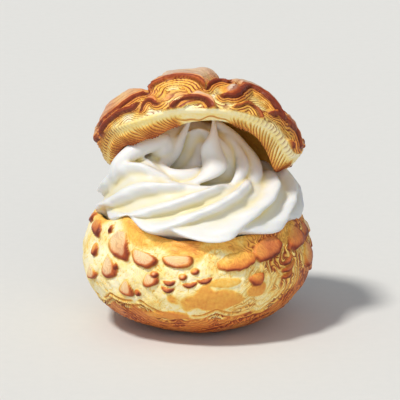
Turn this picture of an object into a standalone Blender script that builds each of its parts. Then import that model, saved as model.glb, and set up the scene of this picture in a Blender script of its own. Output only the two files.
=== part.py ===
"""Cream puff: a split choux bun with a piped swirl of whipped cream and a tilted lid.

Units are metres with +Z up; MM turns the millimetre figures of the tables into metres. The origin
is on the surface that the bun stands on, below its centre, and -Y is the front. Angles are degrees
counter-clockwise seen from above, 0 at +X and 270 at the front.

Three solids: choux_base (the lower bun), whipped_cream (the swirl) and choux_cap (the lid). Bun and
lid are turned sections whose size, rim and crust relief vary with the angle. The cream is a core
whose skirt carries spiral ridges, with folds swept round its peak. Core and folds are fused, and
then trimmed to the bun and the lid with a small gap.
"""

import math
from dataclasses import dataclass

import bpy
import numpy as np
from mathutils import Matrix, Vector

MM = 0.001
GAP = 0.32  # mm between touching pieces

# Lower bun, mm
FOOT_RADIUS = 17.0
BUN_RADIUS = 42.5
BELLY_HEIGHT = 26.0
RIM_RADIUS = 38.2
RIM_HEIGHT = 41.6
LIP_RADIUS = 2.0
DISH_HEIGHT = 36.5
CREST_HEIGHT = 5.0  # how far the rim climbs at its highest place
CREST_ANGLE = 228.0
CREST_WIDTH = 14.0  # degrees
BUN_SEGMENTS = 56

# Lid, mm, in its own frame: its rim is a circle in the XY plane and its dome points to +Z
LID_CENTRE = (1.4, 0.0, 62.8)
LID_TILT = 30.0  # degrees, front up
LID_RADIUS = 35.6
LID_HEIGHT = 25.4
LID_EDGE_RADIUS = 1.6
COLLAR_WIDTH = 6.5  # the ribbed band under the rim
COLLAR_DROP = 4.0
HOLLOW_HEIGHT = 12.0
FRONT_ARCH = 7.4  # how far the rim rises at the front
LEFT_RISE = 3.0  # and at the left
SIDE_SAG = 4.5  # how far it hangs down at the right front
LID_SEGMENTS = 60

# Cream, mm
CORE_SEGMENTS = 176
SKIRT_ROWS = 26
TUBE_SIDES = 12
TUBE_STEPS = 22
FUSE_SIZE = 0.9  # mm, the fineness at which core and folds are fused
CREAM_TRIANGLES_KEPT = 0.07
CORE_FLOOR = ((0.0, 33.0), (30.0, 34.0), (33.0, 38.0))  # the part inside the bun
RIDGE_ANGLES = (218.0, 245.0, 284.0, 320.0, 350.0, 22.0, 56.0, 90.0, 124.0, 156.0, 186.0)
RIDGE_SWEEP = 80.0  # degrees that a ridge turns from the skirt to the shoulder
RIDGE_START = 0.12  # share of the section below which a ridge runs straight down
RIDGE_LIP = 0.17  # share of the spacing that the steep lower side of a ridge takes
RIDGE_BACK = 0.46  # share that its round upper side takes
VALLEY_SECTION = (
    (34.0, 43.6),
    (34.6, 45.2),
    (34.0, 47.6),
    (32.4, 50.2),
    (29.6, 53.2),
    (25.6, 55.4),
    (20.0, 56.6),
)
RIDGE_DEPTHS = (1.6, 3.0, 3.9, 4.3, 4.2, 3.4, 0.6)  # of the valleys along that section
LOBE_SHARE = 0.35  # of the section that the lobes along the skirt's edge take
LOBE_DRIP = 2.4  # how far the skirt's lobes hang below the notches between them
LOBE_BULGE = 1.4
LOBE_SHIFT = 0.27  # where the notch lies after a ridge, as a share of the spacing
SKIRT_LIFT = 4.2  # how much higher the skirt's edge lies on the rim's crest
SKIRT_LIFT_SPREAD = 26.0  # degrees
SKIRT_SHIFT = 0.9  # the skirt sits a little to the right
SKIRT_REACH = 5.6  # how much further the skirt hangs out at the front
PEAK_CENTRE = (0.5, -8.0)  # the swirl's top leans forward
COLUMN_CENTRE = (2.0, -5.5)  # of the slender column between the two tips
COLUMN_START = 58.0
COLUMN_SPAN = 8.0
SLENDER_TOP = ((14.0, 55.4), (8.5, 56.8), (4.6, 61.5), (3.2, 67.0), (2.2, 71.5), (0.0, 74.5))
STOUT_TOP = ((19.0, 59.5), (16.0, 63.0), (12.0, 67.0), (7.5, 71.0), (3.6, 73.5), (0.0, 74.5))
STOUT_ANGLE = 68.0  # degrees, the middle of the peak's broad side
SHOULDER_RISE = 7.0  # how much higher the cream stands at the left front
SHOULDER_ANGLE = 207.0
SHOULDER_SPREAD = 30.0  # degrees
LEAN_START = 50.0  # the height at which the swirl begins to lean
LEAN_SPAN = 14.0
PRESS_HOLLOW = 14.0  # how far into the lid's hollow the cream may rise
PRESS_SOFTNESS = 1.2
CORE_ROOM = 0.6  # how much deeper than the folds the core stays


@dataclass(frozen=True)
class Plate:
    """A plate of browned crust on the lid, lifted along its lower lip."""

    azimuth: float  # degrees, of the lip's middle
    latitude: float  # degrees above the lid's rim, of the lip's middle
    half: float  # mm along the dome from the lip's middle to an end
    arch: float  # mm that the ends lie below the middle
    slope: float  # mm that the right-hand end lies above the middle
    depth: float  # mm from the lip up to where the plate melts into the dome
    lift: float  # mm that the lip stands off the dome
    layers: float  # mm below the lip over which the torn layers step down


FRONT_PLATES = (
    Plate(255.0, 38.0, 9.5, 5.0, 0.0, 34.0, 4.0, 9.0),
    Plate(281.0, 34.0, 4.0, 1.6, 1.6, 7.0, 2.4, 5.0),
    Plate(304.0, 34.0, 10.5, 5.0, -0.5, 16.0, 2.9, 4.6),
    Plate(298.0, 8.0, 5.0, 3.5, -1.5, 5.0, 2.1, 5.5),
    Plate(331.0, 17.0, 8.0, 2.8, -1.0, 10.0, 2.6, 5.5),
    Plate(265.0, 7.5, 6.0, 4.0, 0.0, 5.0, 3.0, 4.0),
    Plate(220.0, 16.0, 10.0, 1.5, 5.0, 10.0, 2.8, 5.5),
    Plate(214.0, 7.5, 9.0, 1.2, 3.2, 4.5, 2.2, 3.0),
    Plate(239.0, 13.0, 3.6, 3.0, 0.0, 4.0, 1.8, 3.5),
    Plate(194.0, 2.0, 7.0, 0.5, 0.0, 8.0, 3.2, 3.0),
    Plate(341.0, 1.5, 7.0, 0.5, 1.0, 7.0, 2.6, 3.0),
)
BACK_ROWS = ((9.0, 7, 9.5), (33.0, 5, 10.5), (60.0, 2, 10.0))  # latitude, plates in the row, half
BACK_START = 4.0
BACK_END = 184.0
PLATE_FLARE = 0.5  # how much wider a plate is at its top than along its lip


@dataclass(frozen=True)
class Fold:
    """One fold of the swirl: a tapering tube on a path round an axis."""

    start: float  # degrees
    sweep: float  # degrees, + is counter-clockwise
    radius: tuple[float, float]  # mm, of the crest at both ends
    height: tuple[float, float]  # mm, of the crest at both ends
    width: tuple[float, float]  # mm, half the tube's width at both ends
    ease: float = 1.0  # the height changes as t to this power
    curl: float = 1.0  # the radius changes as t to this power
    bulge: float = 0.0  # mm added to the radius at mid length
    leaf: float = 0.0  # mm added to the width where the fold broadens to a leaf
    leaf_at: float = 0.5  # where along the fold that is
    leaf_spread: float = 0.17
    flat: float = 1.0  # thickness as a share of the width
    on_peak: bool = False  # round the leaning peak, not the bun's axis


LEFT_FLANK = Fold(192.0, 25.0, (34.5, 15.0), (45.0, 69.5), (3.0, 2.2), ease=0.3, curl=3.0)
INNER_RING = Fold(
    176.0, 144.0, (18.8, 18.6), (62.5, 56.6), (2.6, 1.6), ease=0.6, flat=1.5, on_peak=True
)
RIGHT_TIP = Fold(
    250.0,
    102.0,
    (15.5, 5.8),
    (58.0, 79.6),
    (1.4, 0.7),
    ease=1.6,
    leaf=4.2,
    leaf_at=0.55,
    leaf_spread=0.26,
    flat=0.6,
    on_peak=True,
)
LEFT_TIP = Fold(
    262.0,
    -116.0,
    (8.5, 3.6),
    (58.8, 77.4),
    (1.6, 0.7),
    ease=3.0,
    bulge=9.0,
    leaf=0.8,
    leaf_at=0.78,
    flat=1.5,
    on_peak=True,
)
NEAR_CRESCENT = Fold(
    320.0, 64.0, (18.2, 12.5), (60.0, 71.0), (2.4, 1.0), ease=0.9, bulge=1.6, leaf=0.5, on_peak=True
)
FAR_CRESCENT = Fold(
    338.0, 68.0, (21.6, 10.0), (59.5, 76.0), (3.4, 1.6), ease=1.15, bulge=4.0, leaf=0.8, on_peak=True
)
LEFT_LOBE = Fold(168.0, -70.0, (18.5, 17.0), (69.5, 71.0), (5.6, 6.0), on_peak=True)
RIGHT_LOBE = Fold(95.0, -60.0, (17.0, 18.0), (70.5, 69.0), (6.0, 6.0), on_peak=True)
FOLDS = (
    LEFT_FLANK,
    INNER_RING,
    RIGHT_TIP,
    LEFT_TIP,
    NEAR_CRESCENT,
    FAR_CRESCENT,
    LEFT_LOBE,
    RIGHT_LOBE,
)


def clear_scene():
    """Remove every object that the file opened with."""
    for obj in list(bpy.data.objects):
        bpy.data.objects.remove(obj, do_unlink=True)


def angle_gap(a, b):
    """Signed difference a - b in degrees, within -180 to 180."""
    return (np.asarray(a) - b + 180.0) % 360.0 - 180.0


def hump(azimuth, centre, width):
    """A smooth rise of 1 at the centre angle."""
    return np.exp(-((angle_gap(azimuth, centre) / width) ** 2))


def smooth(x):
    """Smoothstep of x held within 0 to 1."""
    x = np.clip(x, 0.0, 1.0)
    return x * x * (3.0 - 2.0 * x)


def ripple(azimuth, turns, seed):
    """Smooth unevenness round the axis, within about -1 to 1."""
    a = np.radians(azimuth)
    total = 0.0
    for k in range(3):
        total = total + np.sin((turns + 2 * k + k * k) * a + seed * (1.7 + k)) / (1.0 + k)
    return total / 1.6


# ---------------------------------------------------------------- lower bun


def bun_section():
    """(radius, height, rim share) of the bun from the foot's centre to the dish's, in mm."""
    rows = [(0.0, 0.0, 0.0), (FOOT_RADIUS, 0.0, 0.0)]
    for turn in np.linspace(18.0, 90.0, 6):
        turn = math.radians(turn)
        radius = FOOT_RADIUS + (BUN_RADIUS - FOOT_RADIUS) * math.sin(turn)
        rows.append((radius, BELLY_HEIGHT * (1.0 - math.cos(turn)), 0.0))
    wall_top = RIM_HEIGHT - LIP_RADIUS
    for share in (0.3, 0.6, 0.85):
        radius = BUN_RADIUS - (BUN_RADIUS - RIM_RADIUS) * share**1.8
        rows.append((radius, BELLY_HEIGHT + (wall_top - BELLY_HEIGHT) * share, share**2))
    for turn in (0.0, 50.0, 110.0, 180.0):
        turn = math.radians(turn)
        radius = RIM_RADIUS - LIP_RADIUS + LIP_RADIUS * math.cos(turn)
        rows.append((radius, wall_top + LIP_RADIUS * math.sin(turn), 1.0))
    inner = RIM_RADIUS - 2.0 * LIP_RADIUS
    for share in (0.8, 0.45, 0.0):
        height = DISH_HEIGHT + (wall_top - DISH_HEIGHT) * share**2
        rows.append((inner * share, height, 0.6 * share**3))
    return rows


def rim_rise(azimuth):
    """How far the bun's rim climbs above its mean height, in mm."""
    crest = CREST_HEIGHT * hump(azimuth, CREST_ANGLE, CREST_WIDTH)
    dip = 1.2 * hump(azimuth, 270.0, 25.0)
    return crest - dip + 0.7 * ripple(azimuth, 2, 1.0)


def bun_point(azimuth, radius, height, rim_share):
    """Points of the bun's surface in mm, with its lumps and wavy rim."""
    lumps = 0.012 * ripple(azimuth, 3, 2.0) * smooth(height / 12.0)
    radius = radius * (1.0 + lumps)
    height = height + rim_rise(azimuth) * rim_share
    a = np.radians(azimuth)
    return np.stack([radius * np.cos(a), radius * np.sin(a), height + 0.0 * a], axis=-1)


# ---------------------------------------------------------------------- lid


def back_plates():
    """Plates in staggered rows over the back half of the lid."""
    plates = []
    for row, (latitude, count, half) in enumerate(BACK_ROWS):
        step = (BACK_END - BACK_START) / count
        for i in range(count):
            sway = math.sin(2.4 * i + 1.3 * row)
            plates.append(
                Plate(
                    azimuth=BACK_START + step * (i + 0.5) + 4.0 * sway,
                    latitude=latitude + 4.0 * math.sin(4.1 * i + row),
                    half=half * (1.0 + 0.15 * sway),
                    arch=3.0 + 1.2 * sway,
                    slope=2.2 * math.sin(1.9 * i + 2.0 * row),
                    depth=12.0 + 2.0 * row,
                    lift=2.6,
                    layers=4.5,
                )
            )
    return plates


def direction(azimuth, latitude):
    """Unit vectors from the dome's centre, from angles in degrees."""
    a = np.radians(azimuth)
    tall = np.radians(latitude)
    flat = np.cos(tall)
    return np.stack([flat * np.cos(a), flat * np.sin(a), np.sin(tall) + 0.0 * a], axis=-1)


def plate_relief(plate, azimuth, latitude):
    """Height in mm that one plate adds to the dome, from the place along and above its lip."""
    here = direction(np.asarray(azimuth), latitude)
    middle = direction(plate.azimuth, plate.latitude)
    right = direction(plate.azimuth + 90.0, 0.0)
    up = np.cross(middle, right)
    size = 0.5 * (LID_RADIUS + LID_HEIGHT)
    facing = here @ middle
    along = size * np.arctan2(here @ right, facing)
    above = size * np.arctan2(here @ up, np.hypot(facing, here @ right))
    u = along / (plate.half * (1.0 + PLATE_FLARE * smooth(above / plate.depth)))
    above = above - plate.slope * u + plate.arch * u * u
    ends = smooth(2.5 * (1.0 - np.abs(u)))
    top = smooth(1.0 - above / plate.depth)
    torn = 0.75 * smooth(1.0 + above / plate.layers)
    return plate.lift * ends * np.where(above >= 0.0, top, torn)


def rim_offset(azimuth):
    """How far the lid's rim leaves its plane, in mm: up at the front, down at the right front."""
    rise = FRONT_ARCH * hump(azimuth, 268.0, 58.0) + LEFT_RISE * hump(azimuth, 198.0, 22.0)
    sag = SIDE_SAG * hump(azimuth, 338.0, 14.0)
    return rise - sag + 0.5 * ripple(azimuth, 4, 3.0)


def collar_width(azimuth):
    """Width in mm of the ribbed band; it narrows at the left and at the right front."""
    return COLLAR_WIDTH - 2.5 * hump(azimuth, 196.0, 18.0) - 1.5 * hump(azimuth, 312.0, 30.0)


def collar_drop(azimuth):
    """How far the collar's inner edge hangs below the rim, in mm; little where the tips rise."""
    return COLLAR_DROP * (1.0 - 0.85 * hump(azimuth, 282.0, 34.0))


def lid_rows(azimuth):
    """Sections of the lid at these azimuths, in mm in its own frame, from dome top to hollow top."""
    plates = list(FRONT_PLATES) + back_plates()
    offset = rim_offset(azimuth)
    drop = collar_drop(azimuth)
    width = collar_width(azimuth)
    rows = []
    for latitude in (90.0, 78.0, 67.0, 57.0, 48.0, 40.0, 33.0, 26.5, 20.5, 15.0, 9.5, 4.0):
        tall = math.radians(latitude)
        relief = np.max([plate_relief(p, azimuth, latitude) for p in plates], axis=0)
        if latitude == 90.0:
            relief = np.full_like(relief, relief.mean())
        radius = (LID_RADIUS + relief) * math.cos(tall)
        height = (LID_HEIGHT + relief) * math.sin(tall)
        rows.append((radius, height + offset * math.cos(tall) ** 4))
    edge = LID_RADIUS - LID_EDGE_RADIUS
    for turn in (-25.0, -75.0):
        turn = math.radians(turn)
        radius = edge + LID_EDGE_RADIUS * math.cos(turn) + 0.6 * hump(azimuth, 322.0, 40.0)
        rows.append((radius, LID_EDGE_RADIUS * math.sin(turn) + offset))
    inner = edge - width
    for share in (0.5, 1.0):
        rows.append((edge - width * share, offset - LID_EDGE_RADIUS - drop * share**0.8))
    floor = offset - LID_EDGE_RADIUS - drop
    for turn in (12.0, 30.0, 50.0, 70.0, 90.0):
        turn = math.radians(turn)
        height = floor + (HOLLOW_HEIGHT - floor) * math.sin(turn)
        rows.append(((inner - 0.8) * math.cos(turn), height))
    return rows


def lid_matrix():
    """Placing of the lid's frame in the world, metres."""
    place = Matrix.Translation(Vector(LID_CENTRE) * MM)
    return place @ Matrix.Rotation(math.radians(-LID_TILT), 4, "X")


# ------------------------------------------------------------------- meshes


def turned_mesh(name, rings):
    """Closed mesh from rings of points in mm; the first and the last ring are single points."""
    count = len(rings[1])
    points = [rings[0][0]]
    for ring in rings[1:-1]:
        points.extend(ring)
    points.append(rings[-1][0])
    faces = []
    for i in range(count):
        j = (i + 1) % count
        faces.append((0, 1 + j, 1 + i))
        for k in range(len(rings) - 3):
            low = 1 + k * count
            high = low + count
            faces.append((low + i, low + j, high + j, high + i))
        last = 1 + (len(rings) - 3) * count
        faces.append((last + i, last + j, len(points) - 1))
    mesh = bpy.data.meshes.new(name)
    mesh.from_pydata([tuple(p) for p in np.asarray(points) * MM], [], faces)
    mesh.update()
    return mesh


def bun_mesh():
    """The lower bun, from its foot up and over the rim into the dish."""
    azimuth = np.arange(BUN_SEGMENTS) * 360.0 / BUN_SEGMENTS
    rings = [bun_point(azimuth, *row) for row in bun_section()]
    return turned_mesh("choux_base", rings)


def lid_mesh():
    """The lid, from the middle of its hollow out over the collar and the rim to the dome's top."""
    azimuth = np.arange(LID_SEGMENTS) * 360.0 / LID_SEGMENTS
    a = np.radians(azimuth)
    rings = []
    for radius, height in reversed(lid_rows(azimuth)):
        rings.append(np.stack([radius * np.cos(a), radius * np.sin(a), height + 0.0 * a], axis=-1))
    rings[0][:] = rings[0].mean(axis=0)
    return turned_mesh("choux_cap", rings)


# -------------------------------------------------------------------- cream


def under_lid(points, room=0.0):
    """Press points that are outside the lid's hollow down to its rim's plane, less some room."""
    x, y, z = points[..., 0], points[..., 1], points[..., 2]
    rim = LID_CENTRE[2] - math.tan(math.radians(LID_TILT)) * y - room
    reach = np.hypot(x - LID_CENTRE[0], y) / (LID_RADIUS - COLLAR_WIDTH)
    ceiling = rim + PRESS_HOLLOW * smooth(2.0 * (1.0 - reach)) + FRONT_ARCH * smooth(-y / 12.0)
    excess = z - ceiling
    eased = ceiling - PRESS_SOFTNESS * np.log1p(np.exp(-excess / PRESS_SOFTNESS))
    eased = eased + 0.0 * z
    return np.stack([x, y, np.minimum(z, eased)], axis=-1)


def ridge_phase(azimuth):
    """How far each azimuth lies from one ridge, 0, to the next, 1, at the skirt."""
    first = RIDGE_ANGLES[0]
    stops = sorted((angle - first) % 360.0 for angle in RIDGE_ANGLES) + [360.0]
    return np.interp((azimuth - first) % 360.0, stops, np.arange(len(stops))) % 1.0


def ridge_wave(phase):
    """Height of a ridge's section, 0 to 1: round on top, steep below, a hollow slope above."""
    lip = np.sqrt(np.clip(1.0 - (phase / RIDGE_LIP) ** 2, 0.0, 1.0))
    back = np.clip((phase - 1.0 + RIDGE_BACK) / RIDGE_BACK, 0.0, 1.0)
    return np.maximum(lip, 0.15 * phase + 0.85 * smooth(back) ** 0.8)


def ridge_turn(share):
    """Degrees that a ridge has turned at this share of the skirt's section."""
    return RIDGE_SWEEP * np.clip((share - RIDGE_START) / (1.0 - RIDGE_START), 0.0, 1.0)


def lean(height):
    """How much of the peak's forward lean applies at this height, 0 to 1."""
    return smooth((height - LEAN_START) / LEAN_SPAN)


def skirt_rings(azimuth):
    """The skirt and the shoulder: spiral ridges with hollow valleys between them."""
    along = np.linspace(0.0, 1.0, SKIRT_ROWS)
    stops = np.linspace(0.0, 1.0, len(VALLEY_SECTION))
    radius = np.interp(along, stops, [point[0] for point in VALLEY_SECTION])
    height = np.interp(along, stops, [point[1] for point in VALLEY_SECTION])
    depth = np.interp(along, stops, RIDGE_DEPTHS)
    slope = np.arctan2(np.gradient(height), np.gradient(radius)) - 0.5 * math.pi
    a = np.radians(azimuth)
    front = SKIRT_REACH * hump(azimuth, 272.0, 50.0)
    lift = SKIRT_LIFT * hump(azimuth, SHOULDER_ANGLE, SKIRT_LIFT_SPREAD)
    shoulder = SHOULDER_RISE * hump(azimuth, SHOULDER_ANGLE, SHOULDER_SPREAD)
    rings = []
    for share, r, z, high, turn in zip(along, radius, height, depth, slope):
        low = 1.0 - smooth(share / LOBE_SHARE)
        phase = ridge_phase(azimuth - ridge_turn(share))
        wave = high * ridge_wave(phase)
        lobe = np.sin(math.pi * ((phase - LOBE_SHIFT) % 1.0)) * low
        out = r + wave * math.cos(turn) + LOBE_BULGE * lobe + front * low
        up = z + wave * math.sin(turn) - LOBE_DRIP * lobe
        up = up + lift * low + shoulder * smooth((share - 0.3) / 0.5)
        x = SKIRT_SHIFT + out * np.cos(a)
        y = lean(z) * PEAK_CENTRE[1] + out * np.sin(a)
        rings.append(np.stack([x, y, up], axis=-1))
    return rings


def core_rings():
    """The cream's turned core: a disc in the bun, the ribbed skirt and a leaning peak.

    The peak's section blends between a slender one, at the front and left, and a stout one that
    backs the crescents at the right and the back.
    """
    azimuth = np.arange(CORE_SEGMENTS) * 360.0 / CORE_SEGMENTS
    a = np.radians(azimuth)
    stout = smooth(0.5 + 0.9 * np.cos(np.radians(azimuth - STOUT_ANGLE)))
    rings = []
    for radius, height in CORE_FLOOR:
        flat = height + 0.0 * a
        rings.append(np.stack([radius * np.cos(a), radius * np.sin(a), flat], axis=-1))
    rings += skirt_rings(azimuth)
    for (slim, slim_height), (broad, broad_height) in zip(SLENDER_TOP, STOUT_TOP):
        radius = slim + (broad - slim) * stout
        height = slim_height + (broad_height - slim_height) * stout
        column = smooth((height - COLUMN_START) / COLUMN_SPAN) * (1.0 - stout)
        middle = [p + column * (c - p) for p, c in zip(PEAK_CENTRE, COLUMN_CENTRE)]
        x = lean(height) * middle[0] + radius * np.cos(a)
        y = lean(height) * middle[1] + radius * np.sin(a)
        rings.append(np.stack([x, y, height], axis=-1))
    rings[-1][:] = rings[-1].mean(axis=0)
    return [rings[0]] + [under_lid(ring, CORE_ROOM) for ring in rings[1:]]


def fold_path(fold):
    """Crest points and half-widths of a fold, in mm."""
    t = np.linspace(0.0, 1.0, TUBE_STEPS)
    a = np.radians(fold.start + fold.sweep * t)
    radius = fold.radius[0] + (fold.radius[1] - fold.radius[0]) * t**fold.curl
    radius = radius + fold.bulge * np.sin(math.pi * t)
    height = fold.height[0] + (fold.height[1] - fold.height[0]) * t**fold.ease
    width = fold.width[0] + (fold.width[1] - fold.width[0]) * t
    width = width + fold.leaf * np.exp(-(((t - fold.leaf_at) / fold.leaf_spread) ** 2))
    centre = PEAK_CENTRE if fold.on_peak else (0.0, 0.0)
    x = centre[0] + radius * np.cos(a)
    y = centre[1] + radius * np.sin(a)
    return under_lid(np.stack([x, y, height], axis=-1)), width


def fold_rings(fold):
    """Rings of the closed tube under a fold's crest, with rounded ends."""
    crest, width = fold_path(fold)
    centre = np.array([*(PEAK_CENTRE if fold.on_peak else (0.0, 0.0)), 0.0])
    along = np.gradient(crest, axis=0)
    along /= np.linalg.norm(along, axis=1, keepdims=True)
    outward = crest - centre
    outward[:, 2] = 0.0
    outward /= np.linalg.norm(outward, axis=1, keepdims=True)
    steep = smooth((crest[:, 2:] - 44.0) / 16.0) * (1.0 - smooth((crest[:, 2:] - 64.0) / 8.0))
    normal = outward * (1.0 - 0.75 * steep) + np.array([0.0, 0.0, 1.0]) * (0.15 + 0.85 * steep)
    normal -= along * np.sum(normal * along, axis=1, keepdims=True)
    normal /= np.linalg.norm(normal, axis=1, keepdims=True)
    side = np.cross(along, normal)
    middle = crest - normal * width[:, None] * fold.flat
    rings = [
        fold_ring(middle[k], side[k] * width[k], normal[k] * fold.flat * width[k])
        for k in range(TUBE_STEPS)
    ]
    for end, step in ((0, -1.0), (-1, 1.0)):
        caps = []
        for share in (1.0, 0.87, 0.5):
            size = width[end] * math.sqrt(1.0 - share * share)
            place = middle[end] + along[end] * step * width[end] * share
            caps.append(fold_ring(place, side[end] * size, normal[end] * fold.flat * size))
        rings = caps + rings if end == 0 else rings + caps[::-1]
    return rings


def fold_ring(middle, side, normal):
    """Elliptic ring on two half-axes."""
    turn = np.arange(TUBE_SIDES) * 2.0 * math.pi / TUBE_SIDES
    return middle + np.cos(turn)[:, None] * side + np.sin(turn)[:, None] * normal


def cream_mesh():
    """Core and folds as separate closed shells in one mesh, still to be fused."""
    shells = [turned_mesh("core", core_rings())]
    shells += [turned_mesh("fold", fold_rings(fold)) for fold in FOLDS]
    points = []
    faces = []
    for shell in shells:
        offset = len(points)
        points += [tuple(v.co) for v in shell.vertices]
        faces += [tuple(offset + i for i in face.vertices) for face in shell.polygons]
        bpy.data.meshes.remove(shell)
    mesh = bpy.data.meshes.new("whipped_cream")
    mesh.from_pydata(points, [], faces)
    mesh.update()
    return mesh


# ------------------------------------------------------------------ objects


def material(name, colour, roughness):
    """Plain Principled material."""
    made = bpy.data.materials.new(name)
    made.use_nodes = True
    shader = made.node_tree.nodes["Principled BSDF"]
    shader.inputs["Base Color"].default_value = (*colour, 1.0)
    shader.inputs["Roughness"].default_value = roughness
    shader.inputs["Metallic"].default_value = 0.0
    return made


def place(name, mesh, look, matrix=None):
    """Object of this mesh in the scene, shaded smooth."""
    obj = bpy.data.objects.new(name, mesh)
    bpy.context.scene.collection.objects.link(obj)
    if matrix is not None:
        obj.matrix_world = matrix
    mesh.materials.append(look)
    mesh.shade_smooth()
    return obj


def cutter(obj):
    """Copy of a solid grown by the gap, for trimming its neighbour."""
    mesh = obj.data.copy()
    normals = [v.normal.copy() for v in mesh.vertices]
    for vertex, normal in zip(mesh.vertices, normals):
        vertex.co += normal * GAP * MM
    grown = bpy.data.objects.new(obj.name + "_cutter", mesh)
    bpy.context.scene.collection.objects.link(grown)
    grown.matrix_world = obj.matrix_world
    grown.hide_render = True
    grown.display_type = "WIRE"
    return grown


def fuse(obj):
    """Fuse the shells into one skin and thin its triangles."""
    remesh = obj.modifiers.new("fuse", "REMESH")
    remesh.mode = "VOXEL"
    remesh.voxel_size = FUSE_SIZE * MM
    relax = obj.modifiers.new("relax", "SMOOTH")
    relax.factor = 0.5
    relax.iterations = 2
    thin = obj.modifiers.new("thin", "DECIMATE")
    thin.ratio = CREAM_TRIANGLES_KEPT


def trim(obj, tool):
    """Cut the grown neighbour out of a solid."""
    cut = obj.modifiers.new("trim_" + tool.name, "BOOLEAN")
    cut.operation = "DIFFERENCE"
    cut.solver = "EXACT"
    cut.object = tool


def main():
    """Build the three solids."""
    clear_scene()
    bun = place("choux_base", bun_mesh(), material("choux_crumb", (0.72, 0.42, 0.14), 0.55))
    lid = place(
        "choux_cap", lid_mesh(), material("choux_crust", (0.56, 0.27, 0.09), 0.5), lid_matrix()
    )
    cream = place("whipped_cream", cream_mesh(), material("cream", (0.86, 0.84, 0.74), 0.4))
    fuse(cream)
    trim(cream, cutter(bun))
    trim(cream, cutter(lid))


main()
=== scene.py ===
"""Looks of a cream puff: a split choux bun, a piped swirl of whipped cream and a tilted lid.

Shapes are worked out in design millimetres round the bun's axis and then placed by the CAD boxes.
Angles are degrees counter-clockwise seen from above, 0 at +X and 270 at the front.
"""

import logging
import math
from dataclasses import dataclass
from enum import Enum

import bpy
import numpy as np
from mathutils import Matrix, Vector


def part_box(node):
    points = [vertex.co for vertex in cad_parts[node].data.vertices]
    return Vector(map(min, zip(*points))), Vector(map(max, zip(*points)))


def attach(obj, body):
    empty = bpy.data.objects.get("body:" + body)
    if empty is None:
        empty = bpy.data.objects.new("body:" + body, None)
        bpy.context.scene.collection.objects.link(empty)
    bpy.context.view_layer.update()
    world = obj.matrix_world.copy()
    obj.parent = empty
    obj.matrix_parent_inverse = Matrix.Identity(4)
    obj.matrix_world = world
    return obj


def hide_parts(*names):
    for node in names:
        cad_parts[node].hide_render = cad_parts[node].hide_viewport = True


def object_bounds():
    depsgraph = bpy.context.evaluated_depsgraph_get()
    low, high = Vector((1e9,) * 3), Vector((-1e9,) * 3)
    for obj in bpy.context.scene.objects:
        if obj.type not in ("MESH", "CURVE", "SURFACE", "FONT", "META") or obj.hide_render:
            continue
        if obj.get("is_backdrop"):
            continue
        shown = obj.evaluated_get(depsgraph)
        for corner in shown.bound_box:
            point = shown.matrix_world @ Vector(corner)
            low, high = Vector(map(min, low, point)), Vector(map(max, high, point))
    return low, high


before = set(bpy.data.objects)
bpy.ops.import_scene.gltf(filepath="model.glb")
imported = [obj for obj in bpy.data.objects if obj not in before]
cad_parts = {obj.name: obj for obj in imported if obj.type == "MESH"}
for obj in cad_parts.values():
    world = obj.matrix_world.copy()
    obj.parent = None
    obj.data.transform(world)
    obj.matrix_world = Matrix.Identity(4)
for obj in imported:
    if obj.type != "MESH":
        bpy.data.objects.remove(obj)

log = logging.getLogger("cream_puff")

BODY = "root"
BASE_NODE = "choux_base"
CAP_NODE = "choux_cap"
CREAM_NODE = "whipped_cream"
DESIGN_WIDTH = 84.75  # width of the lower bun, design millimetres
FRONT = 270.0

Colour = tuple[float, float, float]
Row = tuple[float, float, float]
Faces = list[tuple[int, ...]]


# ------------------------------------------------------------------- shared


def angle_gap(a: np.ndarray | float, b: float) -> np.ndarray:
    """Signed difference of two angles.

    Args:
        a: angles in degrees.
        b: the angle taken away.

    Returns:
        a - b within -180 to 180 degrees.
    """
    return (np.asarray(a) - b + 180.0) % 360.0 - 180.0


def hump(azimuth: np.ndarray | float, centre: float, width: float) -> np.ndarray:
    """Smooth rise round one angle.

    Args:
        azimuth: angles in degrees.
        centre: where the rise is 1.
        width: how wide it is, in degrees.

    Returns:
        The rise, 0 to 1.
    """
    return np.exp(-((angle_gap(azimuth, centre) / width) ** 2))


def smooth(x: np.ndarray | float) -> np.ndarray:
    """Smoothstep.

    Args:
        x: values, held within 0 to 1.

    Returns:
        The eased values.
    """
    x = np.clip(x, 0.0, 1.0)
    return x * x * (3.0 - 2.0 * x)


def ripple(azimuth: np.ndarray | float, turns: int, seed: float) -> np.ndarray:
    """Smooth unevenness round the axis.

    Args:
        azimuth: angles in degrees.
        turns: waves in a full turn.
        seed: shifts the waves.

    Returns:
        Values within about -1 to 1.
    """
    a = np.radians(azimuth)
    total = 0.0
    for k in range(3):
        total = total + np.sin((turns + 2 * k + k * k) * a + seed * (1.7 + k)) / (1.0 + k)
    return total / 1.6


def direction(azimuth: np.ndarray | float, latitude: np.ndarray | float) -> np.ndarray:
    """Unit vectors from a dome's centre.

    Args:
        azimuth: angles in degrees.
        latitude: angles above the rim in degrees.

    Returns:
        The vectors, in the last axis.
    """
    a = np.radians(azimuth)
    tall = np.radians(latitude)
    flat = np.cos(tall)
    return np.stack([flat * np.cos(a), flat * np.sin(a), np.sin(tall) + 0.0 * a], axis=-1)


def srgb(red: float, green: float, blue: float) -> Colour:
    """Linear colour of three 0 to 255 values.

    Args:
        red: red share.
        green: green share.
        blue: blue share.

    Returns:
        The linear colour.
    """
    return tuple((v / 255.0 / 12.92) if v < 10.3 else ((v / 255.0 + 0.055) / 1.055) ** 2.4
                 for v in (red, green, blue))


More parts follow.
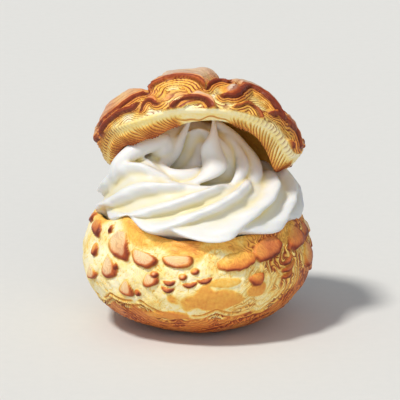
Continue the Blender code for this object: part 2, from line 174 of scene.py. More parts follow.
@dataclass(frozen=True)
class Waves:
    """Unevenness in space, made of seeded plane waves."""

    seed: int
    size: float  # typical wavelength, mm
    count: int = 18

    def at(self, points: np.ndarray) -> np.ndarray:
        """Unevenness at points.

        Args:
            points: places in mm, xyz in the last axis.

        Returns:
            Values mostly within -1 to 1.
        """
        chance = np.random.default_rng(self.seed)
        way = chance.normal(size=(self.count, 3))
        way /= np.linalg.norm(way, axis=1, keepdims=True)
        length = self.size * chance.uniform(0.6, 1.7, self.count)
        shift = chance.uniform(0.0, 2.0 * math.pi, self.count)
        total = np.zeros(points.shape[:-1])
        for d, size, start in zip(way, length, shift):
            total += np.sin(points @ d * (2.0 * math.pi / size) + start)
        return total / math.sqrt(self.count)


@dataclass(frozen=True)
class Placing:
    """How design millimetres lie in the frame."""

    unit: float  # metres in one design millimetre
    foot: Vector  # middle of the bun's underside

    @classmethod
    def of_frame(cls) -> "Placing":
        """Placing that fits the lower bun's CAD box."""
        low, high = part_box(BASE_NODE)
        middle = (low + high) / 2.0
        unit = (high.x - low.x) / DESIGN_WIDTH
        return cls(unit, Vector((middle.x - 0.01 * unit, middle.y - 0.26 * unit, low.z)))

    def world(self, points: np.ndarray) -> np.ndarray:
        """Points in metres in the frame.

        Args:
            points: places in design millimetres.

        Returns:
            The same places in metres.
        """
        return points * self.unit + np.array(self.foot)


def to_object(name: str, points: np.ndarray, faces: Faces | np.ndarray) -> bpy.types.Object:
    """Smooth-shaded mesh object.

    Args:
        name: object and mesh name.
        points: vertices in metres.
        faces: vertex numbers of each face.

    Returns:
        The object, linked to the scene.
    """
    mesh = bpy.data.meshes.new(name)
    mesh.from_pydata(points.tolist(), [], faces if isinstance(faces, list) else faces.tolist())
    mesh.update()
    mesh.shade_smooth()
    made = bpy.data.objects.new(name, mesh)
    bpy.context.scene.collection.objects.link(made)
    return made


def paint(made: bpy.types.Object, name: str, values: np.ndarray) -> None:
    """Store one number per vertex.

    Args:
        made: the mesh object.
        name: the attribute's name.
        values: one value for each vertex.
    """
    layer = made.data.attributes.new(name, "FLOAT", "POINT")
    layer.data.foreach_set("value", np.ascontiguousarray(values.ravel(), np.float32))


def join_frame(made: bpy.types.Object, node: str) -> None:
    """Tie a piece to the frame in place of its CAD node.

    Args:
        made: the piece.
        node: the CAD node that it stands for.
    """
    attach(made, BODY)
    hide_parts(node)
    triangles = sum(len(p.vertices) - 2 for p in made.data.polygons)
    log.info("%s: %d triangles for %s", made.name, triangles, node)


def ring_faces(rows: int, count: int, first: int = 0) -> np.ndarray:
    """Quads between rings of equal count.

    Args:
        rows: number of rings.
        count: vertices in each ring.
        first: number of the first vertex.

    Returns:
        The quads.
    """
    i = np.arange(count)
    j = (i + 1) % count
    k = np.arange(rows - 1)[:, None] * count + first
    quads = np.stack([k + i, k + j, k + count + j, k + count + i], axis=-1)
    return quads.reshape(-1, 4)


# ----------------------------------------------------------------- finishes


class Nodes:
    """Short way to lay out one material's nodes."""

    def __init__(self, name: str) -> None:
        """Start a material with its Principled shader.

        Args:
            name: the material's name.
        """
        self.material = bpy.data.materials.new(name)
        self.material.use_nodes = True
        self.tree = self.material.node_tree
        self.shader = self.tree.nodes["Principled BSDF"]

    def add(self, kind: str, **values: object) -> bpy.types.Node:
        """Add a node.

        Args:
            kind: the node type.
            values: properties, set by name.

        Returns:
            The node.
        """
        node = self.tree.nodes.new(kind)
        for key, value in values.items():
            setattr(node, key, value)
        return node

    def feed(self, target: bpy.types.NodeSocket, source: object) -> None:
        """Link or set an input.

        Args:
            target: the input socket.
            source: an output socket, a number or a colour.
        """
        if isinstance(source, bpy.types.NodeSocket):
            self.tree.links.new(source, target)
        elif isinstance(source, tuple) and len(source) == 3 and len(target.default_value) == 4:
            target.default_value = (*source, 1.0)
        else:
            target.default_value = source

    def mask(self, name: str) -> bpy.types.NodeSocket:
        """Output of a vertex attribute.

        Args:
            name: the attribute.

        Returns:
            Its factor socket.
        """
        return self.add("ShaderNodeAttribute", attribute_name=name).outputs["Fac"]

    def math(self, kind: str, a: object, b: object = 0.0, c: object = 0.0) -> bpy.types.NodeSocket:
        """Arithmetic on numbers.

        Args:
            kind: the operation.
            a: first value.
            b: second value.
            c: third value.

        Returns:
            The result.
        """
        node = self.add("ShaderNodeMath", operation=kind)
        for socket, value in zip(node.inputs, (a, b, c)):
            self.feed(socket, value)
        return node.outputs[0]

    def mix(self, share: object, a: object, b: object) -> bpy.types.NodeSocket:
        """Blend of two colours.

        Args:
            share: how much of the second colour.
            a: first colour.
            b: second colour.

        Returns:
            The blend.
        """
        node = self.add("ShaderNodeMix", data_type="RGBA")
        self.feed(node.inputs[0], share)
        self.feed(node.inputs[6], a)
        self.feed(node.inputs[7], b)
        return node.outputs[2]

    def noise(self, scale: float, detail: float = 4.0, stretch: Row = (1.0, 1.0, 1.0)) -> bpy.types.NodeSocket:
        """Noise in object space.

        Args:
            scale: grains in a metre.
            detail: octaves.
            stretch: scale along each axis.

        Returns:
            The noise, 0 to 1.
        """
        where = self.add("ShaderNodeTexCoord").outputs["Object"]
        bent = self.add("ShaderNodeMapping")
        self.feed(bent.inputs["Vector"], where)
        bent.inputs["Scale"].default_value = stretch
        node = self.add("ShaderNodeTexNoise")
        self.feed(node.inputs["Vector"], bent.outputs[0])
        node.inputs["Scale"].default_value = scale
        node.inputs["Detail"].default_value = detail
        return node.outputs["Fac"]

    def ramp(self, value: bpy.types.NodeSocket, stops: tuple[tuple[float, Colour], ...]) -> bpy.types.NodeSocket:
        """Colours along a value.

        Args:
            value: place along the ramp.
            stops: places and colours.

        Returns:
            The colour.
        """
        node = self.add("ShaderNodeValToRGB")
        bar = node.color_ramp
        while len(bar.elements) < len(stops):
            bar.elements.new(0.5)
        for element, (place, colour) in zip(bar.elements, stops):
            element.position = place
            element.color = (*colour, 1.0)
        self.feed(node.inputs[0], value)
        return node.outputs[0]

    def bump(self, height: bpy.types.NodeSocket, depth: float, strength: float) -> None:
        """Fine relief on the shader.

        Args:
            height: the relief, 0 to 1.
            depth: metres that 1 stands for.
            strength: share of it.
        """
        node = self.add("ShaderNodeBump")
        node.inputs["Strength"].default_value = strength
        node.inputs["Distance"].default_value = depth
        self.feed(node.inputs["Height"], height)
        self.feed(self.shader.inputs["Normal"], node.outputs[0])


BAKE_STOPS = (
    (0.0, srgb(252, 242, 204)),
    (0.14, srgb(252, 228, 146)),
    (0.28, srgb(247, 192, 84)),
    (0.45, srgb(228, 144, 62)),
    (0.63, srgb(202, 106, 46)),
    (0.82, srgb(152, 64, 30)),
    (1.0, srgb(100, 38, 20)),
)


@dataclass(frozen=True)
class CrustFinish:
    """Baked choux: crumb to dark crust by the bake mask, dry tan tops and dark torn edges; bake and edge also carry
    painted shade under the cream, on the chips' lower-right sides and in the lid's rib creases, and painted highlight
    on the rib crests.
    """

    name: str
    dry: Colour = srgb(214, 180, 150)
    dry_light: Colour = srgb(226, 206, 184)
    edge: Colour = srgb(104, 34, 14)
    stroke: Colour = srgb(138, 50, 18)
    line: float = 0.6  # share of a torn layer that its dark foot takes
    bold: float = 1.5
    waver: float = 1.2
    roughness: float = 0.5
    grain: float = 900.0
    pores: float = 0.00022

    def make(self) -> bpy.types.Material:
        """Build the material.

        Returns:
            The material.
        """
        n = Nodes(self.name)
        fine = n.noise(self.grain, 6.0)
        broad = n.noise(120.0, 5.0)
        bake = n.math("ADD", n.mask("bake"), n.math("MULTIPLY", n.math("SUBTRACT", fine, 0.5), 0.22))
        bake = n.math("ADD", bake, n.math("MULTIPLY", n.math("SUBTRACT", broad, 0.5), 0.22))
        colour = n.ramp(bake, BAKE_STOPS)
        tan = n.mix(n.math("MULTIPLY_ADD", broad, 2.2, -0.6), self.dry, self.dry_light)
        colour = n.mix(n.mask("dry"), colour, tan)
        part = n.math("FRACT", n.math("MULTIPLY_ADD", broad, self.waver, n.mask("layer")))
        line = n.math("SMOOTH_MAX", n.math("MULTIPLY_ADD", part, -self.bold / self.line, self.bold), 0.0, 0.1)
        line = n.math("MULTIPLY", line, n.math("MULTIPLY", n.mask("torn"), n.math("MULTIPLY_ADD", fine, 2.4, 0.5)))
        colour = n.mix(line, colour, self.stroke)
        colour = n.mix(n.mask("edge"), colour, self.edge)
        n.feed(n.shader.inputs["Base Color"], colour)
        rough = n.math("MULTIPLY_ADD", fine, 0.25, self.roughness - 0.12)
        n.feed(n.shader.inputs["Roughness"], rough)
        n.shader.inputs["Specular IOR Level"].default_value = 0.35
        n.shader.inputs["Subsurface Weight"].default_value = 0.06
        n.shader.inputs["Subsurface Radius"].default_value = (1.0, 0.5, 0.2)
        n.shader.inputs["Subsurface Scale"].default_value = 0.001
        n.bump(fine, self.pores, 0.8)
        return n.material


@dataclass(frozen=True)
class CreamFinish:
    """Whipped cream: near white, with painted shade as a butter yellow tint where the folds sink in, softly lit from
    within.
    """

    name: str
    crest: Colour = srgb(225, 226, 226)
    # painted shade: colour painted where the folds sink in and shade each other
    hollow: Colour = srgb(230, 216, 156)
    roughness: float = 0.42

    def make(self) -> bpy.types.Material:
        """Build the material.

        Returns:
            The material.
        """
        n = Nodes(self.name)
        broad = n.noise(90.0, 3.0)
        fine = n.noise(1500.0, 3.0)
        # painted shade: the hollow mask tints the cream's sunk places yellow, standing in for the shade of the folds
        share = n.math("MULTIPLY", n.mask("hollow"), n.math("MULTIPLY_ADD", broad, 1.1, 0.4))
        n.feed(n.shader.inputs["Base Color"], n.mix(share, self.crest, self.hollow))
        n.feed(n.shader.inputs["Roughness"], n.math("MULTIPLY_ADD", fine, 0.12, self.roughness - 0.06))
        n.shader.inputs["Specular IOR Level"].default_value = 0.4
        n.shader.inputs["Subsurface Weight"].default_value = 0.35
        n.shader.inputs["Subsurface Radius"].default_value = (1.0, 0.8, 0.5)
        n.shader.inputs["Subsurface Scale"].default_value = 0.003
        n.bump(fine, 0.00006, 0.5)
        return n.material


# ---------------------------------------------------------------- lower bun


class ChipShape(Enum):
    """Outline of a chip of crust."""

    DOT = "dot"
    DROP = "drop"
    HALF_MOON = "half moon"
    OVAL = "oval"
    STROKE = "stroke"
    WEDGE = "wedge"


class Tone(Enum):
    """How far a chip is baked; the value is its place on the bake scale."""

    TAN = 0.24
    GOLDEN = 0.3
    BROWN = 0.47


@dataclass(frozen=True)
class Chip:
    """A raised chip of crust on the bun's wall."""

    azimuth: float
    height: float  # mm above the foot
    width: float  # mm along the wall
    tall: float  # mm up the wall
    shape: ChipShape = ChipShape.OVAL
    tone: Tone = Tone.TAN
    turn: float = 0.0  # degrees
    lift: float = 1.0  # mm

    def reach(self, along: np.ndarray, above: np.ndarray) -> np.ndarray:
        """How far places lie from the chip's middle.

        Args:
            along: mm to the right of the middle.
            above: mm above the middle.

        Returns:
            0 at the middle and 1 at the outline.
        """
        turn = math.radians(self.turn)
        u = (along * math.cos(turn) + above * math.sin(turn)) / (0.5 * self.width)
        v = (above * math.cos(turn) - along * math.sin(turn)) / (0.5 * self.tall)
        if self.shape is ChipShape.DROP:
            u = u / np.clip(0.95 - 0.55 * v, 0.2, 1.6)
        elif self.shape is ChipShape.HALF_MOON:
            v = np.where(v > -0.2, v * 2.1 + 0.42, v * 0.84 + 0.168)
        elif self.shape is ChipShape.WEDGE:
            u = u / np.clip(0.8 - 0.5 * v, 0.2, 1.4)
        elif self.shape is ChipShape.STROKE:
            v = v - 0.8 * (u * u - 0.3)
        power = 2.5 if self.shape is ChipShape.WEDGE else 2.0
        return (np.abs(u) ** power + np.abs(v) ** power) ** (1.0 / power)


FRONT_CHIPS = (
    Chip(186.0, 40.6, 7.0, 4.4, ChipShape.OVAL, Tone.BROWN, 20.0),
    Chip(202.5, 39.6, 11.0, 5.2, ChipShape.WEDGE, Tone.BROWN, -15.0),
    Chip(217.0, 41.0, 2.4, 2.2, ChipShape.DOT, Tone.BROWN),
    Chip(226.9, 37.2, 11.0, 7.6, ChipShape.DROP, Tone.TAN, -20.0, 1.2),
    Chip(242.8, 34.9, 10.8, 6.2, ChipShape.HALF_MOON, Tone.TAN, -6.0, 1.2),
    Chip(259.7, 35.0, 11.4, 6.0, ChipShape.HALF_MOON, Tone.TAN, 4.0, 1.2),
    Chip(207.4, 32.2, 4.2, 4.4, ChipShape.OVAL, Tone.BROWN, 30.0),
    Chip(221.0, 28.0, 8.0, 8.0, ChipShape.DROP, Tone.TAN, 15.0, 1.1),
    Chip(226.6, 29.2, 2.2, 2.0, ChipShape.DOT, Tone.BROWN),
    Chip(205.7, 23.6, 9.0, 4.8, ChipShape.WEDGE, Tone.TAN, 20.0),
    Chip(232.5, 22.0, 6.4, 6.6, ChipShape.WEDGE, Tone.TAN, -10.0),
    Chip(239.0, 20.7, 2.5, 2.5, ChipShape.DOT, Tone.BROWN),
    Chip(246.0, 26.4, 6.4, 5.2, ChipShape.DROP, Tone.TAN, 25.0),
    Chip(248.6, 28.6, 3.2, 2.2, ChipShape.DOT, Tone.TAN),
    Chip(256.5, 25.9, 4.6, 1.9, ChipShape.STROKE, Tone.BROWN, 5.0, 0.6),
    Chip(255.4, 23.2, 4.6, 1.9, ChipShape.STROKE, Tone.BROWN, -5.0, 0.6),
    Chip(263.0, 28.4, 2.8, 2.4, ChipShape.DOT, Tone.TAN),
    Chip(269.0, 30.4, 2.8, 2.4, ChipShape.DOT, Tone.GOLDEN),
    Chip(266.5, 25.5, 5.2, 1.7, ChipShape.STROKE, Tone.BROWN, 8.0, 0.6),
    Chip(274.0, 27.0, 5.2, 1.7, ChipShape.STROKE, Tone.BROWN, 12.0, 0.6),
    Chip(290.7, 33.0, 15.0, 6.8, ChipShape.OVAL, Tone.GOLDEN, 8.0, 1.3),
    Chip(309.4, 36.0, 13.0, 8.0, ChipShape.OVAL, Tone.BROWN, 14.0, 1.3),
    Chip(332.3, 37.0, 11.0, 8.6, ChipShape.DROP, Tone.BROWN, 10.0, 1.2),
    Chip(344.6, 28.5, 9.0, 9.0, ChipShape.OVAL, Tone.BROWN, 0.0, 1.2),
    Chip(349.1, 36.5, 8.0, 5.2, ChipShape.OVAL, Tone.BROWN, 0.0, 1.0),
    Chip(300.3, 27.5, 6.4, 5.4, ChipShape.HALF_MOON, Tone.GOLDEN, 10.0),
    Chip(321.0, 30.0, 6.0, 1.9, ChipShape.STROKE, Tone.BROWN, 20.0, 0.7),
    Chip(321.4, 27.6, 7.0, 1.9, ChipShape.STROKE, Tone.BROWN, 20.0, 0.7),
    Chip(320.6, 25.0, 6.0, 1.9, ChipShape.STROKE, Tone.BROWN, 20.0, 0.7),
)


@dataclass(frozen=True)
class Pool:
    """A smooth patch of the wall baked to one tone."""

    azimuth: float
    height: float
    width: float
    tall: float
    bake: float


POOLS = (
    Pool(277.5, 19.6, 24.0, 8.0, 0.36),
    Pool(299.1, 22.1, 8.0, 5.0, 0.36),
    Pool(252.0, 12.4, 14.0, 3.4, 0.4),
    Pool(284.0, 26.0, 10.0, 3.6, 0.26),
)


@dataclass
class LowerBun:
    """The lower bun: a turned wall with chips, wrinkles and a wavy rim, and a dish for the cream."""

    placing: Placing
    foot_radius: float = 9.5
    radius: float = 41.9
    belly: float = 26.0
    rim_radius: float = 38.2
    rim_height: float = 41.6
    lip: float = 2.0
    dish: float = 36.5
    crest: float = 5.0
    crest_angle: float = 228.0
    crest_width: float = 14.0
    segments: int = 560
    wall_rows: int = 170
    front_share: float = 0.3  # how much closer the columns stand at the front
    wrinkle_spacing: float = 1.9
    wrinkle_depth: float = 0.34

    def section(self) -> np.ndarray:
        """Section from the foot's middle to the dish's.

        Returns:
            Rows of radius, height and share of the rim's wave.
        """
        rows = [(0.0, 0.0, 0.0), (0.5 * self.foot_radius, 0.0, 0.0), (self.foot_radius, 0.0, 0.0)]
        for turn in np.radians(np.linspace(2.0, 90.0, 45)):
            radius = self.foot_radius + (self.radius - self.foot_radius) * math.sin(turn)
            rows.append((radius, self.belly * (1.0 - math.cos(turn)), 0.0))
        top = self.rim_height - self.lip
        for share in np.linspace(0.05, 0.95, 19):
            radius = self.radius - (self.radius - self.rim_radius) * share**1.8
            rows.append((radius, self.belly + (top - self.belly) * share, share**2))
        for turn in np.radians(np.linspace(0.0, 180.0, 9)):
            radius = self.rim_radius - self.lip + self.lip * math.cos(turn)
            rows.append((radius, top + self.lip * math.sin(turn), 1.0))
        inner = self.rim_radius - 2.0 * self.lip
        for share in (0.8, 0.45, 0.0):
            height = self.dish + (top - self.dish) * share**2
            rows.append((inner * share, height, 0.6 * share**3))
        return np.array(rows)

    def rim_rise(self, azimuth: np.ndarray) -> np.ndarray:
        """Climb of the rim above its mean height.

        Args:
            azimuth: angles in degrees.

        Returns:
            The climb in mm.
        """
        crest = self.crest * hump(azimuth, self.crest_angle, self.crest_width)
        dip = 1.2 * hump(azimuth, FRONT, 25.0)
        return crest - dip + 0.7 * ripple(azimuth, 2, 1.0)

    def back_chips(self) -> list[Chip]:
        """Chips in staggered rows round the back."""
        chips = []
        for row, height in enumerate((36.0, 28.5, 20.5)):
            for i in range(11):
                sway = math.sin(2.3 * i + 1.7 * row)
                chips.append(
                    Chip(
                        azimuth=359.0 + 15.6 * (i + 0.5 * (row % 2)) + 3.0 * sway,
                        height=height + 1.6 * math.sin(3.1 * i + row),
                        width=7.5 + 2.5 * sway,
                        tall=5.0 + 1.2 * math.sin(1.9 * i),
                        shape=(ChipShape.OVAL, ChipShape.HALF_MOON, ChipShape.DROP)[(i + row) % 3],
                        tone=(Tone.TAN, Tone.GOLDEN, Tone.BROWN)[(2 * i + row) % 3],
                        turn=25.0 * sway,
                        lift=1.0,
                    )
                )
        return chips

    def build(self) -> bpy.types.Object:
        """Build the bun's mesh and its masks.

        Returns:
            The piece.
        """
        rows = self.section()
        gone = np.concatenate([[0.0], np.cumsum(np.hypot(*np.diff(rows[:, :2], axis=0).T))])
        stops = np.concatenate([[gone[1]], np.linspace(gone[2], gone[-4], self.wall_rows), gone[-3:-1]])
        radius, height, share = (np.interp(stops, gone, rows[:, k]) for k in range(3))
        slope = np.arctan2(np.gradient(height, stops), np.gradient(radius, stops))
        even = np.arange(self.segments) * 2.0 * math.pi / self.segments
        azimuth = (np.degrees(even + self.front_share * np.sin(even)) + 90.0) % 360.0
        a = np.radians(azimuth)[None, :]
        z = height[:, None] + self.rim_rise(azimuth)[None, :] * share[:, None]
        lumps = 0.012 * ripple(azimuth, 3, 2.0)[None, :] * smooth(height / 24.0)[:, None]
        r = radius[:, None] * (1.0 + lumps)
        plain = np.stack([r * np.cos(a), r * np.sin(a), z], axis=-1)
        relief, masks = self.crust(azimuth[None, :], stops[:, None], height[:, None], radius[:, None], plain, gone, rows)
        out = (np.sin(slope)[:, None] * relief)[..., None] * np.stack([np.cos(a), np.sin(a), 0.0 * a], axis=-1)
        up = (-np.cos(slope)[:, None] * relief)[..., None] * np.array([0.0, 0.0, 1.0])
        points = plain + out + up
        points[..., 2] = np.maximum(points[..., 2], 0.0)
        count = len(stops) * self.segments
        ends = np.array([[0.0, 0.0, 0.0], [0.0, 0.0, self.dish]])
        quads = ring_faces(len(stops), self.segments)
        around = np.arange(self.segments)
        after = (around + 1) % self.segments
        low = [(count, int(j), int(i)) for i, j in zip(around, after)]
        last = count - self.segments
        high = [(last + int(i), last + int(j), count + 1) for i, j in zip(around, after)]
        every = np.concatenate([points.reshape(-1, 3), ends])
        made = to_object("lower_bun", self.placing.world(every), quads.tolist() + low + high)
        for name, values in masks.items():
            paint(made, name, np.concatenate([values.ravel(), [0.3, 0.3]]))
        return made

    def crust(
        self,
        azimuth: np.ndarray,
        along: np.ndarray,
        height: np.ndarray,
        radius: np.ndarray,
        points: np.ndarray,
        gone: np.ndarray,
        rows: np.ndarray,
    ) -> tuple[np.ndarray, dict[str, np.ndarray]]:
        """Relief and masks of the wall.

        Args:
            azimuth: angles of the columns.
            along: mm along the section of the rows.
            height: heights of the rows.
            radius: radii of the rows.
            points: places on the plain surface, mm.
            gone: mm along the section at its stops.
            rows: the section's stops.

        Returns:
            Relief in mm and the bake, dry, edge, torn and layer masks.
        """
        broad = Waves(3, 26.0).at(points)
        mid = Waves(5, 9.0).at(points)
        fine = Waves(8, 3.2, 24).at(points)
        wall = smooth((along - gone[2] - 1.0) / 22.0) * smooth((gone[-5] - along) / 3.0)
        turned = angle_gap(azimuth, 285.0) + 3.0 * np.sin(height / 4.0) + 6.0 * broad
        right = smooth((turned - 4.0) / 26.0) * smooth((178.0 - turned) / 24.0)
        shore = 14.9 + 2.6 * np.sin(np.radians(azimuth * 3.0 + 100.0)) + 1.6 * broad
        shore = shore - 2.2 * np.abs(np.sin(np.radians(azimuth * 9.0))) + 12.0 * smooth(angle_gap(azimuth, 300.0) / 40.0)
        low = smooth((shore - height) / 3.0 + 0.2)
        brown = np.clip(np.maximum(right, low * 1.15), 0.0, 1.0)
        warp = 2.6 * broad + 1.1 * mid + 0.3 * fine
        rings = np.full_like(points[..., 0], 1e3)
        for seed, seed_height in ((262.0, 31.0), (42.0, 33.0), (120.0, 31.0)):
            u = np.radians(angle_gap(azimuth, seed)) * radius * 0.8
            v = 1.15 * (height - seed_height)
            rings = np.minimum(rings, np.hypot(u, v))
        flow = (rings + warp) / self.wrinkle_spacing
        wave = np.sin(2.0 * math.pi * flow)
        crease = smooth((-wave - 0.35) / 0.6)
        crackle = smooth((0.16 - np.abs(fine + 0.5 * mid)) / 0.16)
        strength = 0.35 + 0.65 * smooth(0.5 + 1.6 * mid)
        relief = self.wrinkle_depth * 0.5 * wave * brown * strength
        relief = relief + (1.0 - brown) * (0.14 * fine - 0.2 * crackle) + 0.25 * broad + 0.12 * mid
        bake = 0.05 + 0.22 * brown + 0.27 * low + 0.07 * mid + 0.2 * crackle * (1.0 - brown)
        bake = bake + brown * strength * (0.34 * crease - 0.12 * smooth(wave))
        scallop = shore - height
        ruffle = np.sin(2.0 * math.pi * scallop / 1.9 + 0.4 * fine)
        band = smooth((scallop + 1.8) / 1.0) * smooth((4.6 - scallop) / 1.6) * (1.0 - right) * smooth(1.0 + 1.2 * mid)
        relief = relief + 0.4 * band * ruffle
        bake = bake + band * (0.2 - 0.06 * smooth(ruffle) + 0.26 * smooth(-ruffle) - bake)
        # Band under the cream's skirt: golden-brown crust baked there plus painted shadow of the overhanging skirt,
        # browner up toward the skirt.
        hem = 33.6 + 5.0 * smooth((242.0 - azimuth) / 16.0) * (azimuth > 180.0) + 2.2 * np.cos(np.radians(azimuth - 20.0) * 11.0) + 1.5 * mid
        under = smooth((height - hem) / 3.6) * smooth(1.4 - np.abs(angle_gap(azimuth, 285.0)) / 75.0 + 0.6)
        bake = np.maximum(bake, (0.31 + 0.08 * brown + 0.1 * mid) * under)
        edge = 0.34 * crease * brown * strength + 0.3 * band * smooth(-ruffle - 0.3)
        torn = np.clip(0.07 * smooth(0.4 + 2.0 * mid) + 0.5 * brown * strength + 0.07 * under, 0.0, 1.0)
        layer = flow * 1.6 + 0.6 * fine
        dry = np.zeros_like(bake)
        for pool in POOLS:
            u = np.radians(angle_gap(azimuth, pool.azimuth)) * radius / (0.5 * pool.width)
            v = (height - pool.height) / (0.5 * pool.tall)
            inside = smooth((1.3 - np.hypot(u, v) - 0.3 * mid) / 0.6)
            relief = relief * (1.0 - 0.6 * inside) + 0.4 * inside
            shore_line = np.exp(-(((inside - 0.5) / 0.3) ** 2))
            bake = bake + (pool.bake + 0.22 * shore_line - bake) * inside
            torn = torn * (1.0 - 0.8 * inside)
            edge = edge * (1.0 - inside)
        for chip in (*FRONT_CHIPS, *self.back_chips()):
            levels = rows[2:-8, 1] + float(self.rim_rise(np.array(chip.azimuth))) * rows[2:-8, 2]
            place = float(np.interp(chip.height, levels, gone[2:-8]))
            wide = float(np.interp(place, gone, rows[:, 0]))
            u = np.radians(angle_gap(azimuth, chip.azimuth)) * wide
            v = along - place
            near = (np.abs(u) < chip.width) & (np.abs(v) < chip.tall + 2.0)
            if not near.any():
                continue
            reach = chip.reach(u, v) + 0.06 * mid + 0.05 * fine
            size = 0.25 * (chip.width + chip.tall)
            gap = (1.0 - reach) * size
            # Painted light and shade: the chip's lower-right side, away from the key light, is painted browner with a
            # wider dark rim and outline, and its upper-left top paler.
            away_from_light = smooth(0.5 + 1.3 * (0.55 * u / chip.width - 0.85 * v / chip.tall))
            top = smooth((gap + 0.25) / 0.9)
            relief = relief * (1.0 - top) + top * (chip.lift * (0.3 + 0.7 * away_from_light) + 0.06 * fine)
            relief = relief - 0.25 * np.exp(-(((gap + 0.5) / 0.4) ** 2)) * near
            rim = np.exp(-((gap / (0.3 + 1.5 * away_from_light)) ** 2))
            inside = smooth((gap + 0.3) / 0.5)
            small = chip.shape in (ChipShape.DOT, ChipShape.STROKE)
            # the brown rim is real browning; its growth on the lower-right side is painted shade
            face = chip.tone.value + (0.1 if small else -0.04) + 0.4 * rim * (0.15 + 0.85 * away_from_light) + 0.2 * away_from_light + 0.08 * mid
            bake = bake + (face - bake) * inside
            # painted light: the pale top fades out toward the shaded lower-right side
            pale = smooth((gap - 0.25 - 0.9 * away_from_light) / 0.7) * (1.0 - 0.35 * away_from_light)
            tan = 0.9 if chip.tone is Tone.TAN else 0.08 if chip.tone is Tone.BROWN else 0.0
            dry = dry * (1.0 - inside) + pale * tan * inside
            torn = torn * (1.0 - inside) + 0.1 * inside
            edge = edge * (1.0 - inside)
            # dark outline: real at its base width, wider on the lower-right as painted shade
            edge = np.maximum(edge, (0.15 + 0.5 * away_from_light) * np.exp(-(((gap + 0.05) / (0.22 + 0.16 * away_from_light)) ** 2)) * near)
        relief = relief * wall
        masks = {"bake": bake, "dry": dry, "edge": edge, "torn": torn}
        return relief, {name: np.clip(values, 0.0, 1.0) for name, values in masks.items()} | {"layer": layer}

    def dress(self, made: bpy.types.Object) -> None:
        """Give the piece its crust and tie it to the frame.

        Args:
            made: the piece.
        """
        made.data.materials.append(CrustFinish("choux_crumb_finish", dry=srgb(234, 194, 146), dry_light=srgb(246, 222, 180)).make())
        join_frame(made, BASE_NODE)


# ---------------------------------------------------------------------- lid


class Tear(Enum):
    """Look of a plate's torn side."""

    GOLDEN = "golden"
    DARK = "dark"


@dataclass(frozen=True)
class Plate:
    """A raised plate of crust on the lid, from its torn lip, left to right, round over its back."""

    lip: tuple[tuple[float, float], ...]  # (azimuth, latitude) degrees
    back: tuple[tuple[float, float], ...]
    lift: float = 2.6  # mm
    layers: float = 5.0  # mm over which the torn layers step down
    steps: int = 4
    tear: Tear = Tear.GOLDEN
    dry: float = 0.85  # how tan the plate's top is
    lip_width: float = 1.1  # mm of browned lip
    ease: float = 3.0  # mm over which the back rises


